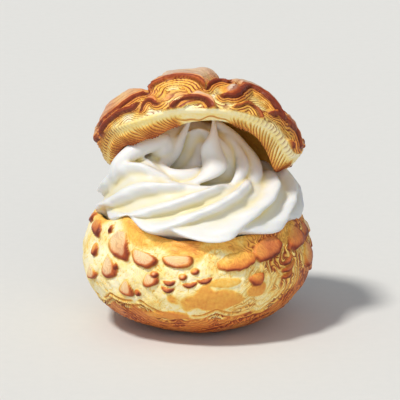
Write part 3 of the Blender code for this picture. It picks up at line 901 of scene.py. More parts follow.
FRONT_PLATES = (
    Plate(((180.0, 6.0), (186.0, 3.0), (192.0, 1.0), (198.0, 0.5), (203.0, 2.0), (207.0, 5.0)),
          ((205.0, 11.0), (196.0, 14.0), (186.0, 17.0), (177.0, 18.0), (174.0, 11.0)),
          3.6, 4.0, 4, Tear.DARK, 0.5, 1.2),
    Plate(((238.0, 17.0), (238.5, 26.0), (240.0, 33.0), (244.0, 37.0), (250.0, 38.0), (256.0, 37.0), (263.0, 34.5),
           (267.5, 29.0), (271.0, 21.0), (273.0, 14.0)),
          ((275.0, 24.0), (278.0, 38.0), (288.0, 52.0), (315.0, 70.0), (60.0, 78.0), (180.0, 74.0), (214.0, 62.0),
           (226.0, 50.0), (233.0, 38.0), (235.0, 25.0)),
          4.4, 8.0, 5, Tear.GOLDEN, 0.85, 1.4, 5.0),
    Plate(((198.0, 6.0), (207.0, 9.0), (214.0, 11.0), (218.0, 13.0), (221.0, 16.0), (225.0, 19.0), (228.0, 22.0),
           (233.0, 23.0), (237.0, 20.0)),
          ((237.0, 27.0), (231.0, 38.0), (218.0, 48.0), (196.0, 46.0), (182.0, 34.0), (180.0, 20.0), (188.0, 10.0)),
          2.9, 5.5, 5, Tear.DARK, 0.45, 1.2, 5.0),
    Plate(((234.0, 4.0), (235.0, 8.0), (236.5, 12.0), (239.0, 13.0), (242.0, 10.0), (245.0, 5.0)),
          ((247.0, 9.0), (244.0, 15.0), (239.0, 18.0), (234.0, 15.0), (232.0, 9.0)),
          2.2, 3.5, 4, Tear.DARK, 0.3, 1.0, 1.5),
    Plate(((195.0, -1.0), (198.0, 2.0), (204.0, 4.0), (210.0, 6.0), (215.0, 8.0), (221.0, 9.0), (226.0, 8.0),
           (229.0, 8.5), (230.5, 11.0), (232.0, 15.0)),
          ((227.0, 15.0), (220.0, 14.5), (212.0, 12.0), (203.0, 9.0), (196.0, 6.0), (191.0, 2.0)),
          2.6, 3.2, 3, Tear.DARK, 0.35, 1.6, 1.5),
    Plate(((290.0, 2.0), (293.0, 5.0), (296.5, 8.0), (300.0, 7.5), (302.5, 5.0), (304.0, 2.0), (305.5, -3.0)),
          ((310.0, 0.0), (307.0, 8.0), (302.0, 13.0), (296.0, 13.0), (290.5, 9.0), (287.0, 4.0)),
          2.4, 5.5, 5, Tear.GOLDEN, 0.3, 1.1, 1.5),
    Plate(((328.0, -3.0), (335.0, 1.0), (341.0, 1.0), (348.0, 3.0), (354.0, 7.0)),
          ((357.0, 13.0), (348.0, 14.0), (338.0, 11.0), (330.0, 6.0), (325.0, 0.0)),
          2.6, 3.5, 3, Tear.DARK, 0.2, 1.4),
    Plate(((314.0, 6.0), (320.0, 11.0), (328.0, 16.0), (336.0, 19.0), (342.0, 17.0), (344.0, 11.0), (342.0, 4.0)),
          ((350.0, 3.0), (353.0, 14.0), (348.0, 26.0), (337.0, 31.0), (325.0, 25.0), (316.0, 17.0), (310.0, 9.0)),
          2.8, 6.0, 5, Tear.DARK, 0.3, 2.0),
    Plate(((282.0, 8.0), (284.5, 10.5), (288.0, 10.0), (292.0, 14.5), (296.0, 22.0), (301.5, 31.0), (306.0, 35.0),
           (310.0, 32.0), (314.0, 26.0), (318.0, 21.0), (321.0, 16.0), (324.0, 11.0)),
          ((332.0, 22.0), (340.0, 38.0), (340.0, 56.0), (315.0, 62.0), (295.0, 54.0), (286.0, 42.0), (282.0, 30.0),
           (279.5, 18.0)),
          3.0, 4.6, 4, Tear.DARK, 0.85, 2.4, 4.0),
    Plate(((274.0, 17.0), (275.5, 26.0), (278.0, 30.5), (281.0, 34.0), (285.0, 37.0), (290.0, 34.0)),
          ((291.0, 41.0), (284.0, 44.0), (277.0, 40.0), (273.0, 30.0), (271.5, 21.0)),
          2.6, 5.5, 4, Tear.DARK, 0.25, 1.8, 2.0),
    Plate(((253.0, -3.0), (255.5, 1.5), (259.0, 4.5), (263.0, 6.5), (268.0, 7.5), (272.0, 6.5), (274.5, 3.5), (276.5, -3.0)),
          ((279.0, 1.0), (278.5, 7.0), (275.5, 12.5), (270.0, 15.5), (264.0, 13.5), (258.0, 9.0), (252.0, 3.0)),
          3.2, 3.2, 2, Tear.DARK, 0.95, 1.0, 1.2),
)
BACK_ROWS = ((9.0, 7, 9.5), (33.0, 5, 10.5), (60.0, 2, 10.0))  # latitude, plates, half width


@dataclass
class Lid:
    """The tilted lid: a dome of torn crust plates, a crumb edge, a ribbed collar and a hollow."""

    placing: Placing
    centre: Row = (1.4, 0.0, 62.8)
    tilt: float = 30.0
    radius: float = 35.6
    height: float = 25.4
    edge: float = 1.6
    collar: float = 6.5
    collar_drop: float = 4.0
    hollow: float = 12.0
    arch: float = 7.4
    left_rise: float = 3.0
    sag: float = 4.5
    half_grid: int = 124
    rib_count: int = 138
    rib_depth: float = 0.55
    back_start: float = 4.0
    back_end: float = 184.0

    def back_plates(self) -> list[Plate]:
        """Plates in staggered rows over the back half."""
        plates = []
        for row, (latitude, count, half) in enumerate(BACK_ROWS):
            step = (self.back_end - self.back_start) / count
            for i in range(count):
                sway = math.sin(2.4 * i + 1.3 * row)
                middle = self.back_start + step * (i + 0.5) + 4.0 * sway
                level = latitude + 4.0 * math.sin(4.1 * i + row)
                wide = math.degrees(half * (1.0 + 0.15 * sway) / 30.0) / math.cos(math.radians(level))
                slope = 3.0 * math.sin(1.9 * i + 2.0 * row)
                lip = tuple(
                    (middle + wide * u, level - (5.5 + 2.0 * sway) * u * u + slope * u + 1.4 * math.sin(5.0 * u + i))
                    for u in (-1.0, -0.6, -0.2, 0.2, 0.6, 1.0)
                )
                rise = min(24.0, 84.0 - level)
                back = tuple((middle + wide * 1.1 * u, level + rise * (1.0 - 0.7 * u * u)) for u in (0.8, 0.3, -0.3, -0.8))
                tear = Tear.DARK if (i + row) % 2 else Tear.GOLDEN
                plates.append(Plate(lip, back, 2.6, 4.5, 4, tear, 0.75, 1.1, 5.0))
        return plates

    def rim_offset(self, azimuth: np.ndarray) -> np.ndarray:
        """How far the rim leaves its plane.

        Args:
            azimuth: angles in degrees.

        Returns:
            The rise in mm, negative where the rim sags.
        """
        rise = self.arch * hump(azimuth, 268.0, 58.0) + self.left_rise * hump(azimuth, 198.0, 22.0)
        return rise - self.sag * hump(azimuth, 338.0, 14.0) + 0.5 * ripple(azimuth, 4, 3.0)

    def collar_width(self, azimuth: np.ndarray) -> np.ndarray:
        """Width of the ribbed band in mm at these angles."""
        return self.collar - 2.5 * hump(azimuth, 196.0, 18.0) - 1.5 * hump(azimuth, 312.0, 30.0)

    def matrix(self) -> Matrix:
        """Placing of the lid's own frame, in design millimetres."""
        return Matrix.Translation(Vector(self.centre)) @ Matrix.Rotation(math.radians(-self.tilt), 4, "X")

    def across(self, plate: Plate, azimuth: np.ndarray, latitude: np.ndarray) -> tuple[np.ndarray, np.ndarray]:
        """Where places lie by a plate's outline.

        Args:
            plate: the plate.
            azimuth: angles of the places.
            latitude: angles of the places.

        Returns:
            mm in from the outline, negative outside, and 1 by the lip to 0 by the back.
        """
        size = 0.5 * (self.radius + self.height)
        points = np.array([(*p, 1.0) for p in plate.lip] + [(*p, 0.0) for p in plate.back])
        ball = np.concatenate([direction(points[:, 0], points[:, 1]), points[:, 2:]], axis=1)
        for _ in range(3):
            after = np.roll(ball, -1, axis=0)
            ball = np.stack([0.75 * ball + 0.25 * after, 0.25 * ball + 0.75 * after], axis=1).reshape(-1, 4)
        middle = ball[:, :3].mean(axis=0)
        middle /= np.linalg.norm(middle)
        right = np.cross([0.0, 0.0, 1.0], middle)
        right /= np.linalg.norm(right)
        up = np.cross(middle, right)

        def flat(here: np.ndarray) -> tuple[np.ndarray, np.ndarray]:
            """Places on the plane that touches the dome at the plate.

            Args:
                here: directions from the dome's centre.

            Returns:
                mm to the right and up.
            """
            here = here / np.linalg.norm(here, axis=-1, keepdims=True)
            turn = np.arccos(np.clip(here @ middle, -1.0, 1.0))
            grow = size * turn / np.maximum(np.sin(turn), 1e-6)
            return here @ right * grow, here @ up * grow

        x, y = flat(direction(azimuth, latitude))
        lx, ly = flat(ball[:, :3])
        best = np.full(x.shape, 1e9)
        front = np.zeros(x.shape)
        inside = np.zeros(x.shape, dtype=bool)
        near = np.hypot(x, y) < np.hypot(lx, ly).max() + 1.5 * plate.layers + 2.0
        x, y = x[near], y[near]
        away, lipped, within = best[near], front[near], inside[near]
        for k in range(len(ball)):
            m = (k + 1) % len(ball)
            dx, dy = lx[m] - lx[k], ly[m] - ly[k]
            t = np.clip(((x - lx[k]) * dx + (y - ly[k]) * dy) / (dx * dx + dy * dy), 0.0, 1.0)
            gap = np.hypot(x - lx[k] - t * dx, y - ly[k] - t * dy)
            lipped = np.where(gap < away, ball[k, 3] + t * (ball[m, 3] - ball[k, 3]), lipped)
            away = np.minimum(gap, away)
            crossing = (ly[k] > y) != (ly[m] > y)
            within ^= crossing & (x < lx[k] + dx * (y - ly[k]) / (dy if abs(dy) > 1e-9 else 1e-9))
        best[near], front[near], inside[near] = away, lipped, within
        return np.where(inside, best, -best), front

    def crust(self, azimuth: np.ndarray, latitude: np.ndarray) -> tuple[np.ndarray, dict[str, np.ndarray]]:
        """Relief and masks of the dome.

        Args:
            azimuth: angles of the places.
            latitude: angles of the places.

        Returns:
            Relief in mm and the bake, dry, edge, torn and layer masks.
        """
        here = direction(azimuth, latitude) * 0.5 * (self.radius + self.height)
        broad = Waves(11, 24.0).at(here)
        mid = Waves(12, 7.0).at(here)
        fine = Waves(13, 2.4, 24).at(here)
        crumb = smooth((10.0 + 4.0 * broad - latitude) / 7.0)
        bake = 0.4 + 0.14 * mid + 0.1 * broad - 0.06 * hump(azimuth, 268.0, 75.0)
        bake = bake + (0.13 + 0.1 * mid - bake) * crumb
        dry = 0.25 * (1.0 - crumb) * smooth(0.5 + broad)
        edge = np.zeros_like(bake)
        relief = 0.2 * mid + 0.12 * fine + 0.2 * broad
        layer = (latitude + 7.0 * broad + 3.0 * mid) / 3.0
        torn = 0.36 + 0.3 * crumb * smooth(0.5 + 1.5 * mid)
        raised = np.zeros_like(bake)
        for plate in (*self.back_plates(), *FRONT_PLATES):
            above, front = self.across(plate, azimuth, latitude)
            above = above + (0.3 * mid + 0.12 * fine) * (above > -90.0)
            front = smooth((front - 0.05) / 0.7)
            ends = smooth(above / plate.ease)
            top = front * (1.0 - 0.3 * np.exp(-np.maximum(above, 0.0) / 0.5)) + (1.0 - front) * ends
            down = np.clip(-above / (plate.layers * (0.85 + 0.3 * broad)), 0.0, 9.0)
            level = np.clip(down, 0.0, 1.0) * plate.steps + 0.25 * mid * smooth(down * 3.0)
            stage = np.floor(level)
            part = level - stage
            stairs = np.clip((stage + smooth(part / 0.35)) / plate.steps, 0.0, 1.0)
            gap = np.exp(-(((above + 0.35) / 0.3) ** 2)) * 0.25
            high = np.where(above >= 0.0, top, 0.78 * front * (1.0 - stairs)) - gap * front
            seen = np.where(above >= 0.0, front + (1.0 - front) * ends, front * smooth((1.0 - down) / 0.35))
            raised = raised * (1.0 - seen) + plate.lift * np.maximum(high, 0.0)
            dark = plate.tear is Tear.DARK
            lip = np.exp(-((np.maximum(above, 0.0) / plate.lip_width) ** 2)) * front
            tan_top = 0.4 + 0.08 * mid + (0.46 if dark else 0.32) * lip
            face = (0.52 if dark else 0.36) - (0.32 if dark else 0.16) * np.clip(down, 0.0, 1.0)
            bake = bake + (np.where(above >= 0.0, tan_top, face) - bake) * seen
            dry = dry * (1.0 - seen) + plate.dry * seen * smooth((above - 0.9 * plate.lip_width) / 1.2)
            top_lines = 0.18 * front + 0.72 * lip
            torn = torn * (1.0 - seen) + np.where(above >= 0.0, top_lines, 1.0 - 0.55 * np.clip(down, 0.0, 1.0)) * seen
            bands = np.where(above >= 0.0, 0.4 - 2.2 * np.log1p(np.maximum(above, 0.0) / 2.0), down * plate.steps + 0.25 * mid)
            layer = np.where(seen > 0.5, bands, layer)
            mark = np.exp(-(((above + 0.1) / (0.5 if dark else 0.36)) ** 2)) * (0.25 + 0.75 * front)
            edge = np.maximum(edge * (1.0 - seen), mark * (0.95 if dark else 0.8))
        masks = {"bake": bake, "dry": dry, "edge": edge, "torn": torn}
        return relief + raised, {name: np.clip(values, 0.0, 1.0) for name, values in masks.items()} | {"layer": layer}

    def under(self, azimuth: np.ndarray) -> tuple[np.ndarray, dict[str, np.ndarray]]:
        """Rings from the rim in, over the collar and the hollow.

        Args:
            azimuth: angles of the ring's vertices.

        Returns:
            Rings of points in the lid's frame, mm, and their masks.
        """
        offset = self.rim_offset(azimuth)
        centre_gap = smooth((21.0 - np.abs(angle_gap(azimuth, 273.0))) / 7.0)
        drop = self.collar_drop * (1.0 - 0.85 * hump(azimuth, 282.0, 34.0))
        width = self.collar_width(azimuth)
        rim = self.radius - self.edge
        a = np.radians(azimuth)
        rows, bakes, edges, torn = [], [], [], []
        for turn in np.radians((-20.0, -45.0, -75.0)):
            radius = rim + self.edge * math.cos(turn) + 0.6 * hump(azimuth, 322.0, 40.0)
            rows.append((radius, self.edge * math.sin(turn) + offset))
            bakes.append(0.07 + 0.04 * np.sin(a * 5.0) + 0.26 * hump(azimuth, 192.0, 20.0))
            edges.append(0.0 * a)
            torn.append(0.65 * hump(azimuth, 194.0, 20.0) + 0.3 * hump(azimuth, 322.0, 22.0))
        wander = 0.5 * np.sin(9.0 * a) + 0.35 * np.sin(23.0 * a + 2.0) + 0.3 * np.sin(41.0 * a + 1.0)
        wave = 0.62 + 0.2 * np.sin(15.0 * a + 1.0) + 0.1 * np.sin(31.0 * a)
        for share in np.linspace(0.06, 1.0, 17):
            bend = np.radians(7.0) * share**1.6
            rib = np.cos(self.rib_count * (a - bend) + 2.4 * wander)
            tall = self.rib_depth * (0.75 + 0.4 * np.sin(17.0 * a + 1.0))
            band = smooth((share - 0.02) / 0.2) * smooth((1.02 - share) / 0.1) * (1.0 - centre_gap)
            # painted shade: rib creases painted darker, through both the bake and the edge masks
            crease = smooth((-rib - 0.35) / 0.6) * band
            rows.append((rim - width * share, offset - self.edge - drop * share**0.8 + tall * band * (rib - 1.0)))
            # baked tone of the gills, with the rib crests painted paler as painted highlight
            gill_tone_and_highlight = 0.33 - 0.15 * hump(azimuth, 320.0, 30.0) + 0.32 * share**2 - 0.2 * smooth(rib)
            line = np.exp(-(((share - wave) / 0.1) ** 2)) * centre_gap
            plain = 0.12 - 0.06 * share + 0.4 * line
            blend = np.maximum(smooth((share - 0.06) / 0.2), hump(azimuth, 194.0, 22.0)) * (1.0 - centre_gap)
            bakes.append(plain + (gill_tone_and_highlight - plain) * blend + 0.2 * crease)
            edges.append(0.68 * crease + 0.3 * line)
            torn.append(0.0 * a)
        inner = rim - width
        floor = offset - self.edge - drop
        for turn in np.radians((6.0, 14.0, 30.0, 50.0, 70.0)):
            rows.append(((inner - 0.5) * math.cos(turn), floor + (self.hollow - floor) * math.sin(turn)))
            bakes.append(0.32 + 0.0 * a)
            edges.append(0.0 * a)
            torn.append(0.0 * a)
        points = [np.stack([r * np.cos(a), r * np.sin(a), z + 0.0 * a], axis=-1) for r, z in rows]
        bake = np.concatenate(bakes)
        masks = {"bake": bake, "dry": 0.0 * bake, "edge": np.concatenate(edges), "torn": np.concatenate(torn)}
        return np.array(points), masks | {"layer": np.tile(20.0 * a, len(rows))}

    def build(self) -> bpy.types.Object:
        """Build the lid's mesh and its masks.

        Returns:
            The piece.
        """
        n = self.half_grid
        i, j = np.meshgrid(np.arange(-n, n + 1), np.arange(-n, n + 1), indexing="ij")
        ring = np.maximum(np.abs(i), np.abs(j))
        side = np.maximum(ring, 1)
        turn = np.where(np.abs(i) >= np.abs(j), np.where(i >= 0, j / side, 4.0 - j / side),
                        np.where(j > 0, 2.0 - i / side, 6.0 + i / side)) * 45.0
        share = ring / n
        latitude = 90.0 - 90.0 * share
        relief, masks = self.crust(turn, latitude)
        middle = ring <= 1
        relief[middle] = relief[middle].mean()
        tall = np.radians(latitude)
        fade = smooth(latitude / 3.0)
        radius = (self.radius + relief * fade) * np.cos(tall)
        height = (self.height + relief * fade) * np.sin(tall) + self.rim_offset(turn) * np.cos(tall) ** 4
        radius = radius + relief * (1.0 - fade)
        a = np.radians(turn)
        dome = np.stack([radius * np.cos(a), radius * np.sin(a), height], axis=-1)
        numbers = np.arange((2 * n + 1) ** 2).reshape(2 * n + 1, 2 * n + 1)
        quads = np.stack([numbers[:-1, :-1], numbers[1:, :-1], numbers[1:, 1:], numbers[:-1, 1:]], axis=-1).reshape(-1, 4)
        border = np.concatenate([numbers[-1, n:-1], numbers[-1:0:-1, -1], numbers[0, -1:0:-1], numbers[:-1, 0], numbers[-1, :n]])
        azimuth = turn.ravel()[border]
        rings, under_masks = self.under(azimuth)
        count = len(border)
        first = numbers.size
        lower = ring_faces(len(rings), count, first)[:, ::-1]
        around = np.arange(count)
        after = (around + 1) % count
        seam = np.stack([border[around], border[after], first + after, first + around], axis=-1)[:, ::-1]
        last = first + (len(rings) - 1) * count
        tip = first + len(rings) * count
        cap = [(last + int(q), last + int(p), tip) for p, q in zip(around, after)]
        top = np.array([[0.0, 0.0, self.hollow]])
        points = np.concatenate([dome.reshape(-1, 3), rings.reshape(-1, 3), top])
        turned = np.array(self.matrix())
        points = points @ turned[:3, :3].T + turned[:3, 3]
        faces = quads.tolist() + seam.tolist() + lower.tolist() + cap
        made = to_object("bun_lid", self.placing.world(points), faces)
        for name, values in masks.items():
            paint(made, name, np.concatenate([values.ravel(), under_masks[name], [0.3 if name == "bake" else 0.0]]))
        return made

    def dress(self, made: bpy.types.Object) -> None:
        """Give the piece its crust and tie it to the frame.

        Args:
            made: the piece.
        """
        made.data.materials.append(CrustFinish("choux_crust_finish").make())
        join_frame(made, CAP_NODE)


# -------------------------------------------------------------------- cream


@dataclass(frozen=True)
class Fold:
    """One fold of the swirl: a tapering tube on a path round an axis."""

    start: float  # degrees
    sweep: float  # degrees, + is counter-clockwise
    radius: tuple[float, float]  # mm, of the crest at both ends
    height: tuple[float, float]  # mm, of the crest at both ends
    width: tuple[float, float]  # mm, half the tube's width at both ends
    ease: float = 1.0
    curl: float = 1.0
    bulge: float = 0.0
    leaf: float = 0.0
    leaf_at: float = 0.5
    leaf_spread: float = 0.17
    flat: float = 1.0
    on_peak: bool = True


FOLDS = (
    Fold(193.0, 24.0, (32.6, 15.0), (45.6, 72.5), (3.0, 3.0), ease=0.34, curl=3.0, on_peak=False),
    Fold(176.0, 144.0, (18.8, 18.6), (62.5, 56.6), (2.6, 1.6), ease=0.6, flat=1.5),
    Fold(250.0, 102.0, (15.5, 5.8), (58.0, 79.6), (1.4, 0.7), ease=1.6, leaf=4.2, leaf_at=0.55, leaf_spread=0.26, flat=0.6),
    Fold(272.0, -126.0, (6.0, 4.4), (61.6, 77.6), (3.4, 0.6), ease=4.2, bulge=9.2, leaf=1.0, leaf_at=0.75, flat=1.2),
    Fold(312.0, 72.0, (17.8, 12.5), (56.4, 71.0), (1.2, 1.0), ease=0.8, bulge=1.6, leaf=1.3, leaf_at=0.4, leaf_spread=0.3),
    Fold(328.0, 78.0, (21.0, 10.0), (55.6, 76.0), (1.8, 1.6), ease=1.0, bulge=4.0, leaf=2.0, leaf_at=0.4, leaf_spread=0.3),
    Fold(168.0, -70.0, (18.5, 17.0), (69.5, 71.0), (5.6, 6.0)),
    Fold(95.0, -60.0, (17.0, 18.0), (70.5, 69.0), (6.0, 6.0)),
    Fold(215.0, -75.0, (18.4, 18.6), (61.5, 66.5), (5.0, 5.5)),
)


@dataclass
class Swirl:
    """The whipped cream: a ridged skirt, folds round a leaning peak, fused into one skin."""

    placing: Placing
    lid: Lid
    segments: int = 400
    skirt_rows: int = 70
    tube_sides: int = 20
    tube_steps: int = 60
    voxel: float = 0.5
    relax: int = 8
    floor: tuple[tuple[float, float], ...] = ((0.0, 37.2), (30.0, 37.6), (33.0, 40.0))
    ridges: tuple[float, ...] = (218.0, 245.0, 284.0, 320.0, 350.0, 22.0, 56.0, 90.0, 124.0, 156.0, 186.0)
    ridge_sweep: float = 80.0
    ridge_start: float = 0.12
    ridge_lip: float = 0.17
    ridge_back: float = 0.46
    valley: tuple[tuple[float, float], ...] = (
        (34.0, 43.6), (34.6, 45.2), (34.0, 47.6), (32.4, 50.2), (29.6, 53.2), (25.6, 55.4), (20.0, 56.6),
    )
    depths: tuple[float, ...] = (1.6, 3.0, 3.9, 4.3, 4.2, 3.4, 0.6)
    lobe_share: float = 0.35
    lobe_drip: float = 2.4
    lobe_bulge: float = 1.4
    lobe_shift: float = 0.27
    skirt_lift: float = 4.2
    lift_angle: float = 226.0
    lift_spread: float = 24.0
    skirt_shift: float = 0.9
    skirt_reach: float = 5.6
    peak: tuple[float, float] = (0.5, -8.0)
    column: tuple[float, float] = (2.0, -5.5)
    column_start: float = 58.0
    column_span: float = 8.0
    slender: tuple[tuple[float, float], ...] = (
        (14.0, 55.8), (9.0, 57.6), (5.0, 60.5), (3.6, 64.0), (2.4, 67.5), (0.0, 70.0),
    )
    stout: tuple[tuple[float, float], ...] = (
        (19.0, 59.5), (16.0, 63.0), (12.0, 67.0), (7.5, 71.0), (3.6, 73.5), (0.0, 74.5),
    )
    stout_angle: float = 68.0
    shoulder_rise: float = 7.0
    shoulder_angle: float = 207.0
    shoulder_spread: float = 30.0
    lean_start: float = 50.0
    lean_span: float = 14.0
    press_hollow: float = 14.0
    press_softness: float = 1.2
    core_room: float = 0.6

    def pressed(self, points: np.ndarray, room: float = 0.0) -> np.ndarray:
        """Press cream that is outside the lid's hollow down to its rim.

        Args:
            points: places in mm.
            room: how much further down to press.

        Returns:
            The pressed places.
        """
        x, y, z = points[..., 0], points[..., 1], points[..., 2]
        rim = self.lid.centre[2] - math.tan(math.radians(self.lid.tilt)) * y - room
        reach = np.hypot(x - self.lid.centre[0], y) / (self.lid.radius - self.lid.collar)
        ceiling = rim + self.press_hollow * smooth(2.0 * (1.0 - reach)) + self.lid.arch * smooth(-y / 12.0)
        excess = z - ceiling
        eased = ceiling - self.press_softness * np.log1p(np.exp(-excess / self.press_softness))
        return np.stack([x, y, np.minimum(z, eased)], axis=-1)

    def ridge_phase(self, azimuth: np.ndarray) -> np.ndarray:
        """How far angles lie from one ridge to the next.

        Args:
            azimuth: angles in degrees.

        Returns:
            Shares, 0 on a ridge and near 1 before the next.
        """
        first = self.ridges[0]
        stops = sorted((angle - first) % 360.0 for angle in self.ridges) + [360.0]
        return np.interp((azimuth - first) % 360.0, stops, np.arange(len(stops))) % 1.0

    def ridge_wave(self, phase: np.ndarray) -> np.ndarray:
        """Section of a ridge: round on top, steep below, a hollow slope above.

        Args:
            phase: shares between two ridges.

        Returns:
            Heights, 0 to 1.
        """
        lip = np.sqrt(np.clip(1.0 - (phase / self.ridge_lip) ** 2, 0.0, 1.0))
        back = np.clip((phase - 1.0 + self.ridge_back) / self.ridge_back, 0.0, 1.0)
        return np.maximum(lip, 0.15 * phase + 0.85 * smooth(back) ** 0.8)

    def lean(self, height: np.ndarray | float) -> np.ndarray:
        """Share of the peak's lean at a height."""
        return smooth((height - self.lean_start) / self.lean_span)

    def skirt(self, azimuth: np.ndarray) -> list[np.ndarray]:
        """Rings of the skirt and the shoulder.

        Args:
            azimuth: angles of the columns.

        Returns:
            The rings, from the skirt's edge up.
        """
        along = np.linspace(0.0, 1.0, self.skirt_rows)
        stops = np.linspace(0.0, 1.0, len(self.valley))
        radius = np.interp(along, stops, [point[0] for point in self.valley])
        height = np.interp(along, stops, [point[1] for point in self.valley])
        depth = np.interp(along, stops, self.depths)
        slope = np.arctan2(np.gradient(height), np.gradient(radius)) - 0.5 * math.pi
        a = np.radians(azimuth)
        front = self.skirt_reach * hump(azimuth, 272.0, 50.0)
        lift = self.skirt_lift * hump(azimuth, self.lift_angle, self.lift_spread)
        shoulder = self.shoulder_rise * hump(azimuth, self.shoulder_angle, self.shoulder_spread)
        rings = []
        for share, r, z, high, turn in zip(along, radius, height, depth, slope):
            low = 1.0 - smooth(share / self.lobe_share)
            turned = self.ridge_sweep * np.clip((share - self.ridge_start) / (1.0 - self.ridge_start), 0.0, 1.0)
            phase = self.ridge_phase(azimuth - turned)
            wave = high * self.ridge_wave(phase)
            lobe = np.sin(math.pi * ((phase - self.lobe_shift) % 1.0)) * low
            out = r + wave * math.cos(turn) + self.lobe_bulge * lobe + front * low
            up = z + wave * math.sin(turn) - self.lobe_drip * lobe
            up = up + lift * low + shoulder * smooth((share - 0.3) / 0.5)
            x = self.skirt_shift + out * np.cos(a)
            y = self.lean(z) * self.peak[1] + out * np.sin(a)
            rings.append(np.stack([x, y, up], axis=-1))
        return rings

    def core(self) -> list[np.ndarray]:
        """Rings of the core, from its floor to the peak.

        Returns:
            The rings; the first and the last are single places.
        """
        azimuth = np.arange(self.segments) * 360.0 / self.segments
        a = np.radians(azimuth)
        broad_side = smooth(0.5 + 0.9 * np.cos(np.radians(azimuth - self.stout_angle)))
        rings = []
        for radius, height in self.floor:
            rings.append(np.stack([radius * np.cos(a), radius * np.sin(a), height + 0.0 * a], axis=-1))
        rings += self.skirt(azimuth)
        stops = np.linspace(0.0, 5.0, 26)
        tops = [[np.interp(stops, np.arange(6.0), [p[k] for p in top]) for k in (0, 1)] for top in (self.slender, self.stout)]
        for slim, slim_height, broad, broad_height in zip(*tops[0], *tops[1]):
            radius = slim + (broad - slim) * broad_side
            height = slim_height + (broad_height - slim_height) * broad_side
            column = smooth((height - self.column_start) / self.column_span) * (1.0 - broad_side)
            middle = [p + column * (c - p) for p, c in zip(self.peak, self.column)]
            x = self.lean(height) * middle[0] + radius * np.cos(a)
            y = self.lean(height) * middle[1] + radius * np.sin(a)
            rings.append(np.stack([x, y, height], axis=-1))
        rings[-1][:] = rings[-1].mean(axis=0)
        return [rings[0]] + [self.pressed(ring, self.core_room) for ring in rings[1:]]

    def fold(self, fold: Fold) -> list[np.ndarray]:
        """Rings of the closed tube under a fold's crest.

        Args:
            fold: the fold.

        Returns:
            The rings, with rounded ends.
        """
        t = np.linspace(0.0, 1.0, self.tube_steps)
        a = np.radians(fold.start + fold.sweep * t)
        radius = fold.radius[0] + (fold.radius[1] - fold.radius[0]) * t**fold.curl
        radius = radius + fold.bulge * np.sin(math.pi * t)
        height = fold.height[0] + (fold.height[1] - fold.height[0]) * t**fold.ease
        width = fold.width[0] + (fold.width[1] - fold.width[0]) * t
        width = width + fold.leaf * np.exp(-(((t - fold.leaf_at) / fold.leaf_spread) ** 2))
        centre = np.array([*(self.peak if fold.on_peak else (0.0, 0.0)), 0.0])
        crest = self.pressed(np.stack([centre[0] + radius * np.cos(a), centre[1] + radius * np.sin(a), height], axis=-1))
        along = np.gradient(crest, axis=0)
        along /= np.linalg.norm(along, axis=1, keepdims=True)
        outward = crest - centre
        outward[:, 2] = 0.0
        outward /= np.linalg.norm(outward, axis=1, keepdims=True)
        steep = smooth((crest[:, 2:] - 44.0) / 16.0) * (1.0 - smooth((crest[:, 2:] - 64.0) / 8.0))
        normal = outward * (1.0 - 0.75 * steep) + np.array([0.0, 0.0, 1.0]) * (0.15 + 0.85 * steep)
        normal -= along * np.sum(normal * along, axis=1, keepdims=True)
        normal /= np.linalg.norm(normal, axis=1, keepdims=True)
        side = np.cross(along, normal)
        middle = crest - normal * width[:, None] * fold.flat
        turn = np.arange(self.tube_sides) * 2.0 * math.pi / self.tube_sides

        def ring(at: int, size: float, shift: float) -> np.ndarray:
            """Elliptic ring of the tube.

            Args:
                at: step along the path.
                size: half-width in mm.
                shift: mm moved along the path.

            Returns:
                The ring.
            """
            place = middle[at] + along[at] * shift
            return place + size * (np.cos(turn)[:, None] * side[at] + fold.flat * np.sin(turn)[:, None] * normal[at])

        rings = [ring(k, width[k], 0.0) for k in range(self.tube_steps)]
        ends = (0.999, 0.87, 0.5)
        first = [ring(0, width[0] * math.sqrt(1.0 - s * s), -width[0] * s) for s in ends]
        last = [ring(-1, width[-1] * math.sqrt(1.0 - s * s), width[-1] * s) for s in ends[::-1]]
        return first + rings + last

    def fused(self) -> bpy.types.Object:
        """Core and folds fused into one skin.

        Returns:
            The piece, without its masks.
        """
        points, faces, count = [], [], 0
        for rings in [self.core()] + [self.fold(fold) for fold in FOLDS]:
            size = len(rings[0])
            points.append(np.concatenate(rings))
            faces += ring_faces(len(rings), size, count).tolist()
            faces.append(tuple(count + i for i in range(size))[::-1])
            last = count + (len(rings) - 1) * size
            faces.append(tuple(last + i for i in range(size)))
            count = last + size
        rough = to_object("cream_rough", self.placing.world(np.concatenate(points)), faces)
        remesh = rough.modifiers.new("fuse", "REMESH")
        remesh.mode = "VOXEL"
        remesh.voxel_size = self.voxel * self.placing.unit
        relax = rough.modifiers.new("relax", "SMOOTH")
        relax.factor = 0.5
        relax.iterations = self.relax
        graph = bpy.context.evaluated_depsgraph_get()
        mesh = bpy.data.meshes.new_from_object(rough.evaluated_get(graph))
        mesh.name = "cream_swirl"
        bpy.data.objects.remove(rough, do_unlink=True)
        mesh.shade_smooth()
        made = bpy.data.objects.new("cream_swirl", mesh)
        bpy.context.scene.collection.objects.link(made)
        return made

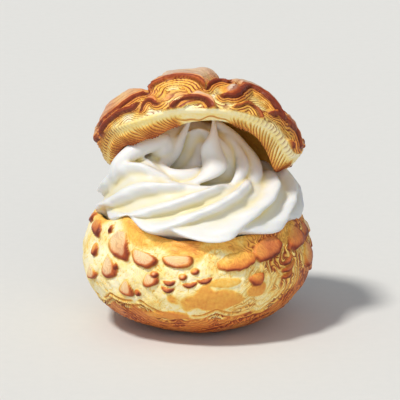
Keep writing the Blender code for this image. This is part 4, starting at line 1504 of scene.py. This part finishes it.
    def painted_hollow_shade(self, made: bpy.types.Object) -> np.ndarray:
        """How deep each vertex lies in a hollow of the cream, the mask for painted shade in the folds.

        Args:
            made: the fused piece.

        Returns:
            0 on crests to 1 in the deepest sunk places.
        """
        mesh = made.data
        total = len(mesh.vertices)
        points = np.empty(total * 3)
        mesh.vertices.foreach_get("co", points)
        points = points.reshape(-1, 3)
        normals = np.empty(total * 3)
        mesh.vertex_normals.foreach_get("vector", normals)
        normals = normals.reshape(-1, 3)
        edges = np.empty(len(mesh.edges) * 2, np.int32)
        mesh.edges.foreach_get("vertices", edges)
        a, b = edges.reshape(-1, 2).T
        degree = np.bincount(a, minlength=total) + np.bincount(b, minlength=total)
        eased = points.copy()
        for _ in range(40):
            eased = np.stack(
                [
                    (np.bincount(a, eased[b, k], total) + np.bincount(b, eased[a, k], total)) / degree
                    for k in range(3)
                ],
                axis=1,
            )
        sunk = np.sum((eased - points) * normals, axis=1) / self.placing.unit
        return smooth(0.25 + sunk / 1.4)

    def build(self) -> bpy.types.Object:
        """Build the cream's mesh and its painted-shade mask.

        Returns:
            The piece.
        """
        made = self.fused()
        # painted shade: the hollow attribute marks where the folds' shade is painted yellow
        paint(made, "hollow", self.painted_hollow_shade(made))
        return made

    def dress(self, made: bpy.types.Object) -> None:
        """Give the piece its cream and tie it to the frame.

        Args:
            made: the piece.
        """
        made.data.materials.append(CreamFinish("cream_finish").make())
        join_frame(made, CREAM_NODE)


# ------------------------------------------------------------------- studio


@dataclass
class Studio:
    """Plain pale floor, one soft key light, an even sky and the camera."""

    floor_colour: Colour = srgb(216, 216, 213)
    sky: float = 0.365
    sun: float = 2.7
    sun_softness: float = 9.0  # degrees
    sun_from: Row = (-0.52, -0.5, 1.15)
    fill: float = 0.7
    fill_softness: float = 50.0  # degrees
    fill_from: Row = (0.2, -1.0, 0.3)
    lens: float = 300.0
    distance: float = 14.474  # in widths of the object
    elevation: float = 15.0
    aim: Row = (0.0130, 0.1315, -0.0673)  # from the object's middle, in its widths

    def floor(self, level: float) -> None:
        """Lay the floor.

        Args:
            level: its height in metres.
        """
        half = 6.0
        corners = np.array([[-half, -half, level], [half, -half, level], [half, half, level], [-half, half, level]])
        made = to_object("floor", corners, [(0, 1, 2, 3)])
        n = Nodes("floor_finish")
        n.shader.inputs["Roughness"].default_value = 0.9
        paper = n.noise(260.0, 4.0)
        n.feed(n.shader.inputs["Base Color"], n.mix(paper, self.floor_colour, srgb(221, 220, 217)))
        n.shader.inputs["Specular IOR Level"].default_value = 0.1
        made.data.materials.append(n.material)
        made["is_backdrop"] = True

    def lamp(self, name: str, energy: float, softness: float, come_from: Row) -> None:
        """Hang one far lamp.

        Args:
            name: its name.
            energy: its strength.
            softness: its width in degrees.
            come_from: the direction that it shines from.
        """
        lamp = bpy.data.lights.new(name, "SUN")
        lamp.energy = energy
        lamp.angle = math.radians(softness)
        lamp.color = (1.0, 0.97, 0.92)
        made = bpy.data.objects.new(name, lamp)
        made.rotation_euler = Vector(come_from).to_track_quat("Z", "Y").to_euler()
        bpy.context.scene.collection.objects.link(made)

    def lights(self) -> None:
        """Set the key, the low fill and the sky."""
        self.lamp("key", self.sun, self.sun_softness, self.sun_from)
        self.lamp("fill", self.fill, self.fill_softness, self.fill_from)
        world = bpy.data.worlds.new("sky")
        world.use_nodes = True
        world.node_tree.nodes["Background"].inputs[0].default_value = (0.86, 0.92, 1.0, 1.0)
        world.node_tree.nodes["Background"].inputs[1].default_value = self.sky
        bpy.context.scene.world = world
        bpy.context.scene.view_settings.view_transform = "Standard"

    def camera(self, low: Vector, high: Vector) -> None:
        """Place the camera in front of the object.

        Args:
            low: lowest corner of the CAD box.
            high: highest corner of the CAD box.
        """
        width = high.x - low.x
        tall = math.radians(self.elevation)
        back = Vector((0.0, -math.cos(tall), math.sin(tall)))
        target = (low + high) / 2.0 + Vector(self.aim) * width
        made = bpy.data.objects.new("camera", bpy.data.cameras.new("camera"))
        made.data.lens = self.lens
        made.data.sensor_width = 36.0
        made.location = target + back * self.distance * width
        made.rotation_euler = back.to_track_quat("Z", "Y").to_euler()
        bpy.context.scene.collection.objects.link(made)
        bpy.context.scene.camera = made


def main() -> None:
    """Build and dress every piece, then the studio, set by both boxes."""
    logging.basicConfig(level=logging.INFO, format="%(name)s: %(message)s")
    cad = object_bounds()
    placing = Placing.of_frame()
    lid = Lid(placing)
    for part in (LowerBun(placing), Swirl(placing, lid), lid):
        part.dress(part.build())
    studio = Studio()
    studio.floor(cad[0].z)
    studio.lights()
    studio.camera(*cad)
    bpy.context.view_layer.update()


if __name__ == "__main__":
    main()
